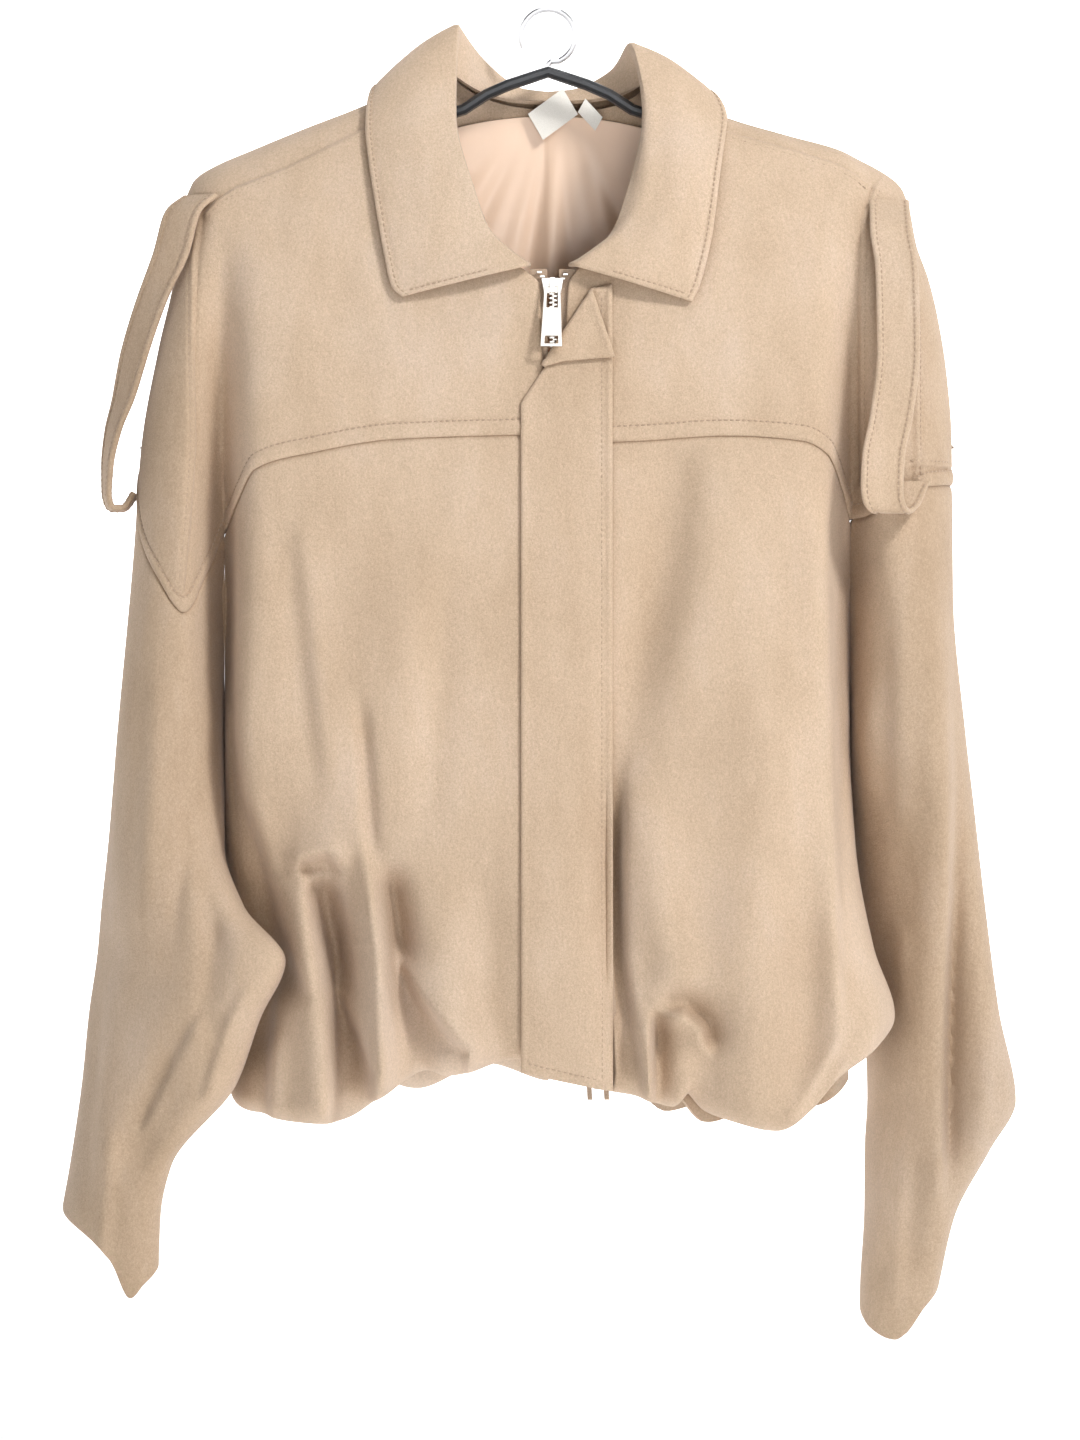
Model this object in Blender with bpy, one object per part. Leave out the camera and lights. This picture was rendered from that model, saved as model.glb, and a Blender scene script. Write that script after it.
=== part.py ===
"""An oversized suede bomber jacket with a shirt collar, hanging on a plain hanger.

The origin is where the hook rests on a rail. X is to the viewer's right, Y away from the viewer,
Z up. Sizes here are in millimetres, and heights are given as `drop`, the distance below the origin.
`side` is -1 on the viewer's left and +1 on the right; `face` is +1 for the front and -1 for the back.

At any height the jacket is three hollow loops side by side: sleeve, body, sleeve. Above the armpits
the loops are joined by a web that gets shallower towards the shoulder. Every panel is a piece of
those loops, so neighbouring panels meet along the same curve, a seam's gap apart. The shoulder seam
lies on the outline's ridge, and each sleeve below the yoke is a front and a back half that part
along its outer edge.
"""
import math

import bmesh
import bpy
import numpy as np

MM = 0.001
WALL = 2.0              # suede with its backing
SEAM = 0.3              # gap between neighbouring pieces
LEFT, RIGHT = -1, 1
FRONT, BACK = 1, -1

# Columns of grid cells over half a body, half a sleeve loop, and rows down each piece
BODY_CELLS = 16
SLEEVE_CELLS = 8
YOKE_ROWS = 8
LOWER_ROWS = 14
ROLL_ROWS = 4
LEG_ROWS = 2
BAND_ROWS = 3
SLEEVE_ROWS = 18


def table(names, *rows):
    """Rows of numbers as a dictionary of named columns."""
    return dict(zip(names.split(), np.array(rows, float).T))


def blend(knots, values, at):
    """A smooth curve through the points (knots, values) that never overshoots them."""
    knots, values, at = (np.asarray(part, float) for part in (knots, values, at))
    step = np.diff(knots)
    rise = np.diff(values) / step
    slope = np.concatenate([rise[:1], np.zeros(len(rise) - 1), rise[-1:]])
    before, after = rise[:-1], rise[1:]
    near, far = 2 * step[1:] + step[:-1], step[1:] + 2 * step[:-1]
    same = before * after > 0
    slope[1:-1][same] = (near + far)[same] / (near[same] / before[same] + far[same] / after[same])
    index = np.clip(np.searchsorted(knots, at) - 1, 0, len(step) - 1)
    part = np.clip((at - knots[index]) / step[index], 0, 1)
    square, cube = part ** 2, part ** 3
    return (values[index] * (2 * cube - 3 * square + 1) + values[index + 1] * (3 * square - 2 * cube)
            + step[index] * (slope[index] * (cube - 2 * square + part)
                             + slope[index + 1] * (cube - square)))


def read(rows, name, at, by="drop"):
    return blend(rows[by], rows[name], at)


def by_side(side, left, right):
    """Picks left or right values, for one side or for an array of sides."""
    return np.where(np.asarray(side) < 0, left, right)


# Where the body loop ends and the sleeve loop starts, above the armpits
WEB_X = {LEFT: 194.0, RIGHT: 181.0}
CORNER_X = {LEFT: 218.0, RIGHT: 217.0}      # end of the shoulder line, where the sleeve turns down

# Drop of the shoulder line at each distance from the middle
SHOULDER = {
    LEFT: table("x drop", (0, 8), (62, 33), (110, 56), (148, 71), (177, 83), (202, 94), (212, 101),
                (218, 113)),
    RIGHT: table("x drop", (0, 14), (62, 41), (106, 63), (143, 74), (175, 83), (187, 89), (203, 98),
                 (212, 106), (217, 118)),
}

# The body loop: its sides (x and y), its depth in front and behind, and how square its corners are
BODY = table(
    "drop left_x left_y right_x right_y front back corner",
    (0, 194, 0, 181, 0, 24, 26, 14),
    (130, 194, 0, 181, 0, 43, 40, 14),
    (256, 194, 0, 181, 0, 54, 50, 14),
    (340, 194, 0, 181, 0, 58, 54, 13),
    (430, 194, 0, 181, 0, 62, 58, 10),
    (500, 195, 12, 184, -8, 68, 62, 6),
    (560, 187, 16, 194, -20, 75, 67, 5),
    (600, 186, 14, 206, -28, 79, 70, 5),
    (640, 191, 10, 203, -24, 79, 70, 5),
    (690, 191, 10, 200, -20, 76, 68, 5),
)

# Depth that is left in the web between body and sleeve, as a share of the body's
WEB = table("drop share", (113, 1), (160, 0.97), (210, 0.9), (256, 0.78), (300, 0.62), (350, 0.42),
            (400, 0.18), (430, 0))

# The sleeve loops: outer and inner edge (x and y), and how far each face stands off the line between
SLEEVE = {
    LEFT: table(
        "drop out_x in_x out_y in_y front back",
        (113, 218, 194, 0, 0, 30, 26),
        (140, 220, 194, 0, 0, 33, 29),
        (170, 226, 194, 0, 0, 36, 32),
        (200, 233, 194, 0, 0, 39, 35),
        (262, 244, 194, 0, 0, 43, 39),
        (320, 248, 194, 0, 0, 45, 42),
        (430, 258, 194, 0, 0, 46, 44),
        (500, 264, 193, 2, -16, 44, 42),
        (535, 268, 180, 4, -40, 38, 34),
        (566, 271, 154, 6, -66, 31, 25),
        (600, 276, 169, 8, -58, 32, 27),
        (640, 280, 184, 8, -46, 32, 30),
        (690, 287, 224, 6, -26, 26, 26),
        (720, 292, 231, 2, -18, 22, 22),
        (775, 300, 233, 0, -14, 18, 18)),
    RIGHT: table(
        "drop out_x in_x out_y in_y front back",
        (118, 217, 181, 0, 0, 30, 26),
        (140, 221, 181, 0, 0, 33, 29),
        (160, 228, 181, 0, 0, 35, 31),
        (180, 233, 181, 0, 0, 37, 33),
        (217, 239, 181, 0, 0, 40, 36),
        (254, 242, 181, 0, 0, 43, 39),
        (353, 243, 181, 0, 0, 45, 42),
        (430, 250, 181, 0, 0, 46, 44),
        (473, 255, 181.5, 0, 16, 44, 40),
        (533, 262, 184, 2, 34, 40, 36),
        (600, 271, 192, 4, 40, 34, 32),
        (653, 281, 194, 4, 38, 36, 32),
        (683, 265, 192, 2, 30, 34, 30),
        (722, 244, 191, 0, 20, 28, 26),
        (765, 234, 188, 0, 12, 22, 22),
        (800, 226, 187, 0, 8, 18, 18)),
}
SLEEVE_ROUND = 2.3      # exponent of the sleeve's oval section
SLEEVE_AXIS_X = 225.0

# The yoke seam runs across the body (at x) and then across the sleeve (at an angle round its loop)
YOKE_SEAM = {
    LEFT: table("x drop", (0, 256), (90, 259), (139, 267), (174, 277), (184, 293), (194, 312)),
    RIGHT: table("x drop", (0, 262), (56, 260), (105, 257), (150, 260), (166, 268), (175, 286),
                 (181, 305)),
}
SLEEVE_SEAM = {
    LEFT: table("angle drop", (0, 312), (22, 319), (45, 336), (74, 361), (112, 339), (150, 312),
                (180, 284)),
    RIGHT: table("angle drop", (0, 305), (35, 304), (74, 296), (120, 286), (180, 284)),
}
CUFF = {
    LEFT: table("angle drop", (0, 750), (40, 761), (58, 769), (85, 745), (120, 730), (180, 716)),
    RIGHT: table("angle drop", (0, 776), (37, 788), (90, 795), (108, 791), (135, 776), (180, 764)),
}
BACK_SEAM_RISE = 14.0   # the back's yoke seam is this much higher in the middle

# Points of the upper edge that the yoke's columns start from; `place` counts 0-1 over the body and
# 1-2 over the sleeve
UPPER_X = table("place x", (0, 62), (0.31, 93), (0.62, 138), (0.83, 172), (1, 202), (1.12, 212),
                (1.2, 218))
UPPER_DROP = table("place drop", (1.2, 113), (1.5, 176), (1.75, 218), (2, 262))
UPPER_TURN = 1.2

# Front neckline, from the shoulder to the zip, then the front edge down to the yoke seam
NECKLINE = {
    LEFT: table("share x drop", (0, 1.2, 256), (0.25, 3.5, 205), (0.42, 5, 168), (0.5, 12, 160),
                (0.6, 30, 149), (0.72, 46, 124), (0.86, 57, 88), (1, 62, 33)),
    RIGHT: table("share x drop", (0, 13, 262), (0.25, 10.5, 205), (0.42, 12, 168), (0.5, 17, 159),
                 (0.6, 33, 149), (0.72, 48, 124), (0.86, 58, 90), (1, 62, 41)),
}
BACK_NECK = table("x dip", (0, 19), (20, 18), (40, 14), (53, 7.5), (62, 0))
NECK_X = 62.0

# The zip leans from the neck to the hem, and the fronts stop short of it
ZIP = table("drop x", (150, 3), (164, 3), (215, 3.5), (262, 6), (641, 29), (680, 31.3))
ZIP_HALF_GAP = 7.0

# Lowest line of the bubble hem, and the bottom of the hem band inside it
HEM = {
    FRONT: table("x drop", (-192, 659), (-170, 662), (-150, 662), (-125, 646), (-98, 631), (-88, 634),
                 (-47, 624), (-20, 634), (12, 643), (30, 646), (55, 652), (66, 644), (81, 655),
                 (100, 660), (130, 665), (148, 655), (165, 637), (190, 621), (206, 608)),
    BACK: table("x drop", (-192, 659), (-165, 654), (-130, 640), (-96, 650), (-52, 634), (-8, 646),
                (40, 632), (84, 648), (122, 638), (160, 634), (190, 621), (206, 608)),
}
BAND = table("x drop", (-192, 640), (-120, 634), (-60, 618), (0, 630), (60, 640), (90, 662),
             (118, 655), (150, 648), (172, 652), (190, 645), (206, 632))
CREASE_GAP = {LEFT: 3.0, RIGHT: 1.4}    # extra gap where three pieces meet at the foot of the web
DIAGONAL_BIAS = 0.02
STEP_U, STEP_V = 0.008, 0.0001      # steps that a surface's slope is taken over
CREASE_SPLIT = 0.6      # body and sleeve stand this far off the line where they meet
CELL_REACH = 7.0        # half the width of the front's widest cells
SIDE_LINE = 0.5         # front and back meet within this of y = 0
ROLL_RADIUS = 13.0
BAND_INSET = 27.4       # the band hangs just inside the turned-up edge of the body
BAND_WIDTH = 38.0
BAND_WALL = 2.5
LEG_LEAST = 5.0

# Folds: each is a soft trough (minus) or ridge (plus) along a line of x, drop points
FOLDS = {
    # height, width, then the x, drop points along the fold from its faint end to its full one
    FRONT: (
        (-12, 17, ((-158, 455), (-160, 510), (-166, 560), (-172, 600))),
        (7, 15, ((-145, 490), (-140, 560), (-138, 650))),
        (-14, 14, ((-133, 480), (-127, 530), (-122, 580), (-114, 650))),
        (8, 14, ((-112, 500), (-104, 560), (-94, 650))),
        (-11, 14, ((-96, 490), (-88, 560), (-74, 650))),
        (6, 16, ((-66, 520), (-56, 590), (-50, 650))),
        (-6, 17, ((-42, 480), (-36, 560), (-34, 650))),
        (-6, 18, ((76, 270), (71, 330), (61, 368), (53, 405), (45, 440))),
        (-11, 16, ((46, 420), (39, 480), (44, 540), (54, 600), (62, 660))),
        (8, 17, ((66, 430), (62, 490), (68, 550), (80, 600), (92, 660))),
        (-14, 14, ((78, 570), (86, 610), (92, 660))),
        (7, 20, ((115, 470), (118, 560), (124, 650))),
        (-8, 16, ((150, 500), (152, 580), (150, 650))),
        (5, 26, ((-80, 300), (-82, 380), (-84, 450))),
        (4, 30, ((120, 300), (122, 400), (118, 460))),
    ),
    BACK: (
        (-9, 17, ((-150, 480), (-146, 560), (-140, 650))),
        (-11, 16, ((-104, 490), (-98, 580), (-90, 650))),
        (7, 17, ((-70, 480), (-70, 580), (-70, 650))),
        (-9, 16, ((-32, 490), (-28, 580), (-30, 650))),
        (7, 17, ((6, 470), (10, 560), (10, 650))),
        (-10, 16, ((50, 480), (56, 570), (60, 650))),
        (7, 17, ((92, 490), (96, 580), (98, 650))),
        (-9, 16, ((136, 480), (142, 560), (146, 650))),
        (-6, 22, ((-60, 240), (-66, 320), (-76, 420))),
        (-6, 22, ((62, 240), (66, 320), (74, 420))),
        (5, 26, ((0, 250), (0, 330), (2, 420))),
    ),
}
SLEEVE_FOLDS = {
    (LEFT, FRONT): ((-7, 9, ((-196, 520), (-196, 560), (-200, 600))),
                    (-6, 12, ((-204, 600), (-222, 640), (-240, 680))),
                    (5, 14, ((-232, 420), (-236, 500), (-240, 560)))),
    (LEFT, BACK): ((-7, 12, ((-214, 500), (-226, 560), (-240, 610))),
                   (-6, 12, ((-232, 620), (-246, 660), (-256, 700)))),
    (RIGHT, FRONT): ((-7, 9, ((236, 470), (237, 530), (236, 600), (233, 680))),
                     (6, 12, ((214, 560), (210, 600), (208, 640))),
                     (-5, 12, ((222, 640), (216, 690), (212, 740)))),
    (RIGHT, BACK): ((-7, 12, ((228, 480), (232, 560), (244, 620))),
                    (-6, 12, ((236, 640), (224, 690), (214, 740)))),
}


def fold(folds, x, drop):
    """Height of the folds at points of a face: each has a round section and fades at its ends."""
    height = np.zeros(np.broadcast(x, drop).shape)
    for size, width, points in folds:
        points = np.array(points, float)
        run = np.concatenate([[0], np.cumsum(np.linalg.norm(np.diff(points, axis=0), axis=1))])
        nearest = np.full(height.shape, np.inf)
        along = np.zeros(height.shape)
        for start, end, begun in zip(points[:-1], points[1:], run):
            leg = end - start
            length = np.linalg.norm(leg)
            share = np.clip(((x - start[0]) * leg[0] + (drop - start[1]) * leg[1]) / length ** 2, 0, 1)
            away = np.hypot(x - start[0] - share * leg[0], drop - start[1] - share * leg[1])
            closer = away < nearest
            along = np.where(closer, begun + share * length, along)
            nearest = np.where(closer, away, nearest)
        rise = np.clip(along / (FOLD_RISE * run[-1]), 0, 1)
        height += size * np.exp(-(nearest / width) ** 2) * rise * rise * (3 - 2 * rise)
    return height


FOLD_RISE = 0.45        # share of a fold's length in which it grows to its full height
SHOULDER_TURN = 45.0    # how soon below the shoulder line the cloth has come out to its full depth
FOLD_FADE = 2.5         # folds fade out where the body's section turns to the side


def shoulder_share(side, x, drop):
    """How far the cloth has come out from the shoulder line, from 0 on the line to 1 well below it."""
    x = np.abs(x)
    line = by_side(side, read(SHOULDER[LEFT], "drop", x, "x"), read(SHOULDER[RIGHT], "drop", x, "x"))
    return np.sqrt(1 - np.exp(-np.maximum(drop - line, 0) / SHOULDER_TURN))


def body_point(side, across, drop, face, inset=0.0):
    """A point of the body loop, `across` from 0 in the middle to 1 at the side."""
    edge_x = by_side(side, read(BODY, "left_x", drop), read(BODY, "right_x", drop)) - inset
    edge_y = by_side(side, read(BODY, "left_y", drop), read(BODY, "right_y", drop))
    depth = read(BODY, "front" if face == FRONT else "back", drop) - inset
    web = depth * read(WEB, "share", drop)
    corner = read(BODY, "corner", drop)
    across = np.clip(across, 0, 1)
    x = side * across * edge_x
    round_off = 1 - across ** corner
    out = np.sqrt(web ** 2 + (depth ** 2 - web ** 2) * round_off)
    out = out + fold(FOLDS[face], x, drop) * np.clip(FOLD_FADE * round_off, 0, 1)
    y = edge_y * across ** 2 - face * out * shoulder_share(side, x, drop)
    return np.stack([x, y, -drop], axis=-1)


def sleeve_point(side, angle, drop, face, inset=0.0):
    """A point of a sleeve loop, `angle` from 0 at its inner edge to 180 at its outer edge."""
    rows = SLEEVE[side]
    inner, outer = read(rows, "in_x", drop) + inset, read(rows, "out_x", drop)
    share = (1 - np.cos(np.radians(angle))) / 2
    depth = read(rows, "front" if face == FRONT else "back", drop)
    body_depth = read(BODY, "front" if face == FRONT else "back", drop)
    web = body_depth * read(WEB, "share", drop)
    oval = np.sqrt(np.clip(1 - np.abs(2 * share - 1) ** SLEEVE_ROUND, 0, 1))
    swell = np.maximum(depth ** 2 - web ** 2, 0) * oval ** 2
    out = np.sqrt(web ** 2 * (1 - share ** SLEEVE_ROUND) + swell)
    x = side * (inner + share * (outer - inner))
    out = out + fold(SLEEVE_FOLDS[side, face], x, drop) * oval ** 2
    y = (read(rows, "in_y", drop) * (1 - share) + read(rows, "out_y", drop) * share
         - face * out * shoulder_share(side, x, drop))
    return np.stack([x, y, -drop], axis=-1)


def face_point(side, x, drop, face):
    """A point of the front or back above the armpits, at a distance x from the middle."""
    web = WEB_X[side]
    rows = SLEEVE[side]
    outer = read(rows, "out_x", drop)
    share = np.clip((x - web) / (outer - web), 0, 1)
    angle = np.degrees(np.arccos(1 - 2 * share))
    point = np.where((x < web)[..., None], body_point(side, x / web, drop, face),
                     sleeve_point(side, angle, drop, face))
    point[..., 0] = side * x
    return point


def surface_depth(x, drop, face=FRONT):
    """How far the front or back of the body stands out from y = 0, for signed x."""
    side = np.where(x < 0, LEFT, RIGHT)
    edge_x = by_side(side, read(BODY, "left_x", drop), read(BODY, "right_x", drop))
    return -face * body_point(side, np.abs(x) / edge_x, drop, face)[..., 1]


def spanned_depth(x, drop):
    """The front's depth where its cells span a hollow, so that what lies on it stays outside."""
    beside = (surface_depth(x - CELL_REACH, drop) + surface_depth(x + CELL_REACH, drop)) / 2
    return np.maximum(surface_depth(x, drop), beside)


# ---------------------------------------------------------------------------------------- meshes

def new_object(name, vertices, faces, material):
    mesh = bpy.data.meshes.new(name)
    mesh.from_pydata([tuple(MM * value for value in vertex) for vertex in vertices], [], faces)
    mesh.validate()
    edit = bmesh.new()
    edit.from_mesh(mesh)
    bmesh.ops.recalc_face_normals(edit, faces=edit.faces)
    edit.to_mesh(mesh)
    edit.free()
    mesh.shade_smooth()
    mesh.set_sharp_from_angle(angle=math.radians(40))
    mesh.materials.append(material)
    made = bpy.data.objects.new(name, mesh)
    bpy.context.scene.collection.objects.link(made)
    return made


def material(name, color, roughness, metallic=0.0):
    made = bpy.data.materials.new(name)
    made.use_nodes = True
    shader = made.node_tree.nodes["Principled BSDF"]
    shader.inputs["Base Color"].default_value = (*color, 1)
    shader.inputs["Roughness"].default_value = roughness
    shader.inputs["Metallic"].default_value = metallic
    return made


def unit(vectors):
    return vectors / np.maximum(np.linalg.norm(vectors, axis=-1, keepdims=True), 1e-9)


def surface_normals(surface, u, v, axis_x):
    """Unit normals of surface(u, v) on the side of an upright axis inside the loop.

    On the side line, where front and back meet, they lie in the plane between the two.
    """
    low_u, high_u = np.clip(u - STEP_U, 0, 1), np.clip(u + STEP_U, 0, 1)
    low_v, high_v = np.clip(v - STEP_V, 0, 1), np.clip(v + STEP_V, 0, 1)
    along_u = surface(high_u, v) - surface(low_u, v)
    along_v = surface(u, high_v) - surface(u, low_v)
    normals = unit(np.cross(along_u, along_v))
    points = surface(u, v)
    to_axis = np.array([axis_x, 0.0]) - points[..., :2]
    normals = normals * np.sign((normals[..., :2] * to_axis).sum())
    normals[..., 1] *= np.abs(points[..., 1]) > SIDE_LINE
    return unit(normals)


def drawn_in(points, rims):
    """Edge points moved half a seam's gap into the panel, square to the edge, on the named rims."""
    points = points.copy()
    for rim in rims:
        edge, inner = {"u0": ((0, slice(None)), (1, slice(None))),
                       "u1": ((-1, slice(None)), (-2, slice(None))),
                       "v0": ((slice(None), 0), (slice(None), 1)),
                       "v1": ((slice(None), -1), (slice(None), -2))}[rim]
        line = points[edge]
        along = unit(np.gradient(line, axis=0))
        inward = points[inner] - line
        inward = inward - (inward * along).sum(axis=-1, keepdims=True) * along
        points[edge] = line + unit(inward) * SEAM / 2
    return points


def halves(ring, points):
    """A ring of four points, by number, as two triangles cut along the shorter diagonal."""
    first, second, third, fourth = (points[number] for number in ring)
    if np.linalg.norm(first - third) > np.linalg.norm(second - fourth) + DIAGONAL_BIAS:
        ring = ring[1:] + ring[:1]
    return ring[:3], ring[2:] + ring[:1]


def shell(name, outer, inner, triangles, made_of):
    """A closed body between two layers of points that share the same triangles."""
    count = len(outer)
    points = np.concatenate([outer, inner])
    open_edges = {}
    for triangle in triangles:
        for first, second in zip(triangle, triangle[1:] + triangle[:1]):
            if open_edges.pop((second, first), None) is None:
                open_edges[first, second] = True
    faces = [list(triangle) for triangle in triangles]
    faces += [[corner + count for corner in reversed(triangle)] for triangle in triangles]
    for first, second in open_edges:
        faces.extend(halves([first, first + count, second + count, second], points))
    return new_object(name, points, faces, made_of)


def grid_triangles(points):
    """Triangles over a grid of points, each cell cut along its shorter diagonal."""
    columns, rows = points.shape[:2]
    flat = points.reshape(-1, 3)
    triangles = []
    for column in range(columns - 1):
        for row in range(rows - 1):
            first = column * rows + row
            triangles.extend(halves([first, first + rows, first + rows + 1, first + 1], flat))
    return triangles


def wall_mesh(name, outer, inner, made_of):
    return shell(name, outer.reshape(-1, 3), inner.reshape(-1, 3), grid_triangles(outer), made_of)


def grid_normals(points):
    return unit(np.cross(np.gradient(points, axis=0), np.gradient(points, axis=1)))


def sheet(name, points, thickness, made_of):
    """A sheet with the given grid of points in the middle of its thickness."""
    half = thickness / 2 * grid_normals(points)
    return wall_mesh(name, points + half, points - half, made_of)


def straighten_crease(points, normals, column):
    """At the foot of the web three pieces meet, and there their thickness goes straight in."""
    normals[column, 0] = (0, -np.sign(points[column, 0, 1]), 0)


def panel(name, surface, u, v, axis_x, rims, crease, made_of):
    """A wall on surface(u, v), its thickness added on the side of the loop's axis."""
    grid_u, grid_v = np.meshgrid(u, v, indexing="ij")
    outer = drawn_in(surface(grid_u, grid_v), rims)
    normals = surface_normals(surface, grid_u, grid_v, axis_x)
    for column in crease:
        straighten_crease(outer, normals, column)
    return wall_mesh(name, outer, outer + WALL * normals, made_of)


# ---------------------------------------------------------------------------------------- panels

def zip_x(drop):
    return read(ZIP, "x", drop)


def front_edge(side, drop):
    """Distance of a front's edge from the middle; less than 0 where it lies past the middle."""
    return side * zip_x(drop) + ZIP_HALF_GAP


COLUMNS_CLOSE_UP = 1.45     # power by which a panel's columns close up
ROWS_CLOSE_UP = 1.8         # power by which the yoke's rows close up towards the shoulder
NECK_SHARE = 0.8            # part of the yoke's width that follows the curve of the neckline


def across_columns(place):
    """Columns close up towards the side, where the cloth turns; `place` and the result are 0-1."""
    return 1 - (1 - place) ** COLUMNS_CLOSE_UP


def near_crease(place):
    """1 at the web (place 1), fading to 0 a fifth of the way back."""
    return np.clip(1 - 5 * (1 - place), 0, 1) ** 2


def yoke_seam_drop(side, x, face):
    drop = read(YOKE_SEAM[side], "drop", x, "x")
    if face == BACK:
        drop = drop - BACK_SEAM_RISE * (1 - (x / WEB_X[side]) ** 2)
    return drop


def upper_edge(side, place):
    """x and drop on the shoulder line and then down the sleeve's outer edge."""
    stretch = (CORNER_X[side] - NECK_X) / (CORNER_X[LEFT] - NECK_X)
    turn_drop = SHOULDER[side]["drop"][-1]
    x = NECK_X + stretch * (read(UPPER_X, "x", np.minimum(place, UPPER_TURN), "place") - NECK_X)
    drop = read(SHOULDER[side], "drop", x, "x")
    down = np.maximum(read(UPPER_DROP, "drop", np.maximum(place, UPPER_TURN), "place"), turn_drop)
    past = place > UPPER_TURN
    return np.where(past, read(SLEEVE[side], "out_x", down), x), np.where(past, down, drop)


def yoke_surface(side, face):
    """The yoke and the upper sleeve in one cut; u runs from the middle to the sleeve's outer edge."""
    total = BODY_CELLS + SLEEVE_CELLS

    def surface(u, v):
        cell = u * total
        place = np.where(cell <= BODY_CELLS, cell / BODY_CELLS,
                         1 + (cell - BODY_CELLS) / SLEEVE_CELLS)
        on_body = np.clip(place, 0, 1)
        across = across_columns(on_body)
        web = WEB_X[side]
        start = front_edge(side, YOKE_SEAM[side]["drop"][0]) / web if face == FRONT else 0.0
        low_x = web * (start + (1 - start) * across)
        low_drop = yoke_seam_drop(side, low_x, face)
        angle = 180 * np.clip(place - 1, 0, 1)
        seam_drop = read(SLEEVE_SEAM[side], "drop", angle, "angle")
        share = (1 - np.cos(np.radians(angle))) / 2
        outer = read(SLEEVE[side], "out_x", seam_drop)
        past = place > 1
        low_x = np.where(past, web + share * (outer - web), low_x)
        low_drop = np.where(past, seam_drop, low_drop)
        if face == FRONT:
            high_x, high_drop = upper_edge(side, np.where(past, place, across))
        else:
            neck = NECK_X / WEB_X[LEFT]
            on_shoulder = np.where(past, place, np.maximum((across - neck) / (1 - neck), 0))
            high_x, high_drop = upper_edge(side, on_shoulder)
            in_neck = ~past & (across < neck)
            inward = np.clip(across / neck, 0, 1)
            neck_points = SHOULDER[LEFT]["drop"][1], SHOULDER[RIGHT]["drop"][1]
            level = (1 - inward) * sum(neck_points) / 2 + inward * SHOULDER[side]["drop"][1]
            neck_drop = level + read(BACK_NECK, "dip", NECK_X * inward, "x")
            high_x = np.where(in_neck, NECK_X * inward, high_x)
            high_drop = np.where(in_neck, neck_drop, high_drop)
        rise = 1 - (1 - v) ** ROWS_CLOSE_UP
        x = low_x + (high_x - low_x) * rise
        drop = low_drop + (high_drop - low_drop) * rise
        if face == FRONT:
            rows = NECKLINE[side]
            straight_x = rows["x"][0] + (NECK_X - rows["x"][0]) * rise
            straight_drop = rows["drop"][0] + (SHOULDER[side]["drop"][1] - rows["drop"][0]) * rise
            pull = np.clip(1 - on_body / NECK_SHARE, 0, 1) ** 2
            x = x + pull * (read(rows, "x", v, "share") - straight_x)
            drop = drop + pull * (read(rows, "drop", v, "share") - straight_drop)
        return face_point(side, x, drop, face)

    return surface


def lower_surface(side, face):
    """Body below the yoke: u from the zip or the middle to the side, v from the yoke round the hem."""
    total = LOWER_ROWS + ROLL_ROWS + LEG_ROWS
    web = WEB_X[side]

    def surface(u, v):
        across = across_columns(u)
        row = v * total
        fall = np.clip(row / LOWER_ROWS, 0, 1)
        turn = np.pi * np.clip((row - LOWER_ROWS) / ROLL_ROWS, 0, 1)
        leg = np.clip((row - LOWER_ROWS - ROLL_ROWS) / LEG_ROWS, 0, 1)
        start = front_edge(side, YOKE_SEAM[side]["drop"][0]) / web if face == FRONT else 0.0
        top = (yoke_seam_drop(side, web * (start + (1 - start) * across), face)
               + CREASE_GAP[side] * near_crease(u))
        bottom = roll_drop(side, across, face)
        drop = top + (bottom - top) * fall
        start = front_edge(side, drop) / web if face == FRONT else 0.0
        inset = CREASE_SPLIT * np.clip(row, 0, 1) + ROLL_RADIUS * (1 - np.cos(turn))
        point = signed_body_point(side, start + (1 - start) * across, drop, face, inset)
        turned_up = bottom - leg_top(side, across, face)
        point[..., 2] += leg * turned_up - ROLL_RADIUS * np.sin(turn)
        return point

    return surface


HEM_FROM, HEM_TO = 12.0, 200.0      # the hem's columns run between these distances from the middle


def hem_x(side, across):
    """Where a column of the lower body reads the tables of the hem and the band."""
    return side * (HEM_FROM + (HEM_TO - HEM_FROM) * across)


def roll_drop(side, across, face):
    """Drop of the middle of the roll at the hem."""
    return read(HEM[face], "drop", hem_x(side, across), "x") - ROLL_RADIUS


def leg_top(side, across, face):
    """Drop that the body's edge is turned up to, where the band is sewn to it."""
    band = read(BAND, "drop", hem_x(side, across), "x") - BAND_WIDTH
    return np.minimum(roll_drop(side, across, face) - LEG_LEAST, band)


def signed_body_point(side, across, drop, face, inset):
    """A point of the body loop, where `across` may lie a little past the middle."""
    own, other = ("left_x", "right_x")[::side * LEFT]
    past = across < 0
    ratio = np.where(past, -read(BODY, own, drop) / read(BODY, other, drop), 1)
    return body_point(np.where(past, -side, side), across * ratio, drop, face, inset)


def band_surface(side, face, inset):
    """The band that hangs from the turned-up edge, open at the zip."""

    def surface(u, v):
        across = across_columns(u)
        top = leg_top(side, across, face)
        bottom = read(BAND, "drop", hem_x(side, across), "x")
        drop = roll_drop(side, across, face)
        start = front_edge(side, drop) / WEB_X[side] if face == FRONT else 0.0
        point = signed_body_point(side, start + (1 - start) * across, drop, face, inset)
        point[..., 2] = -(top + (bottom - top) * v)
        return point

    return surface


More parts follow.
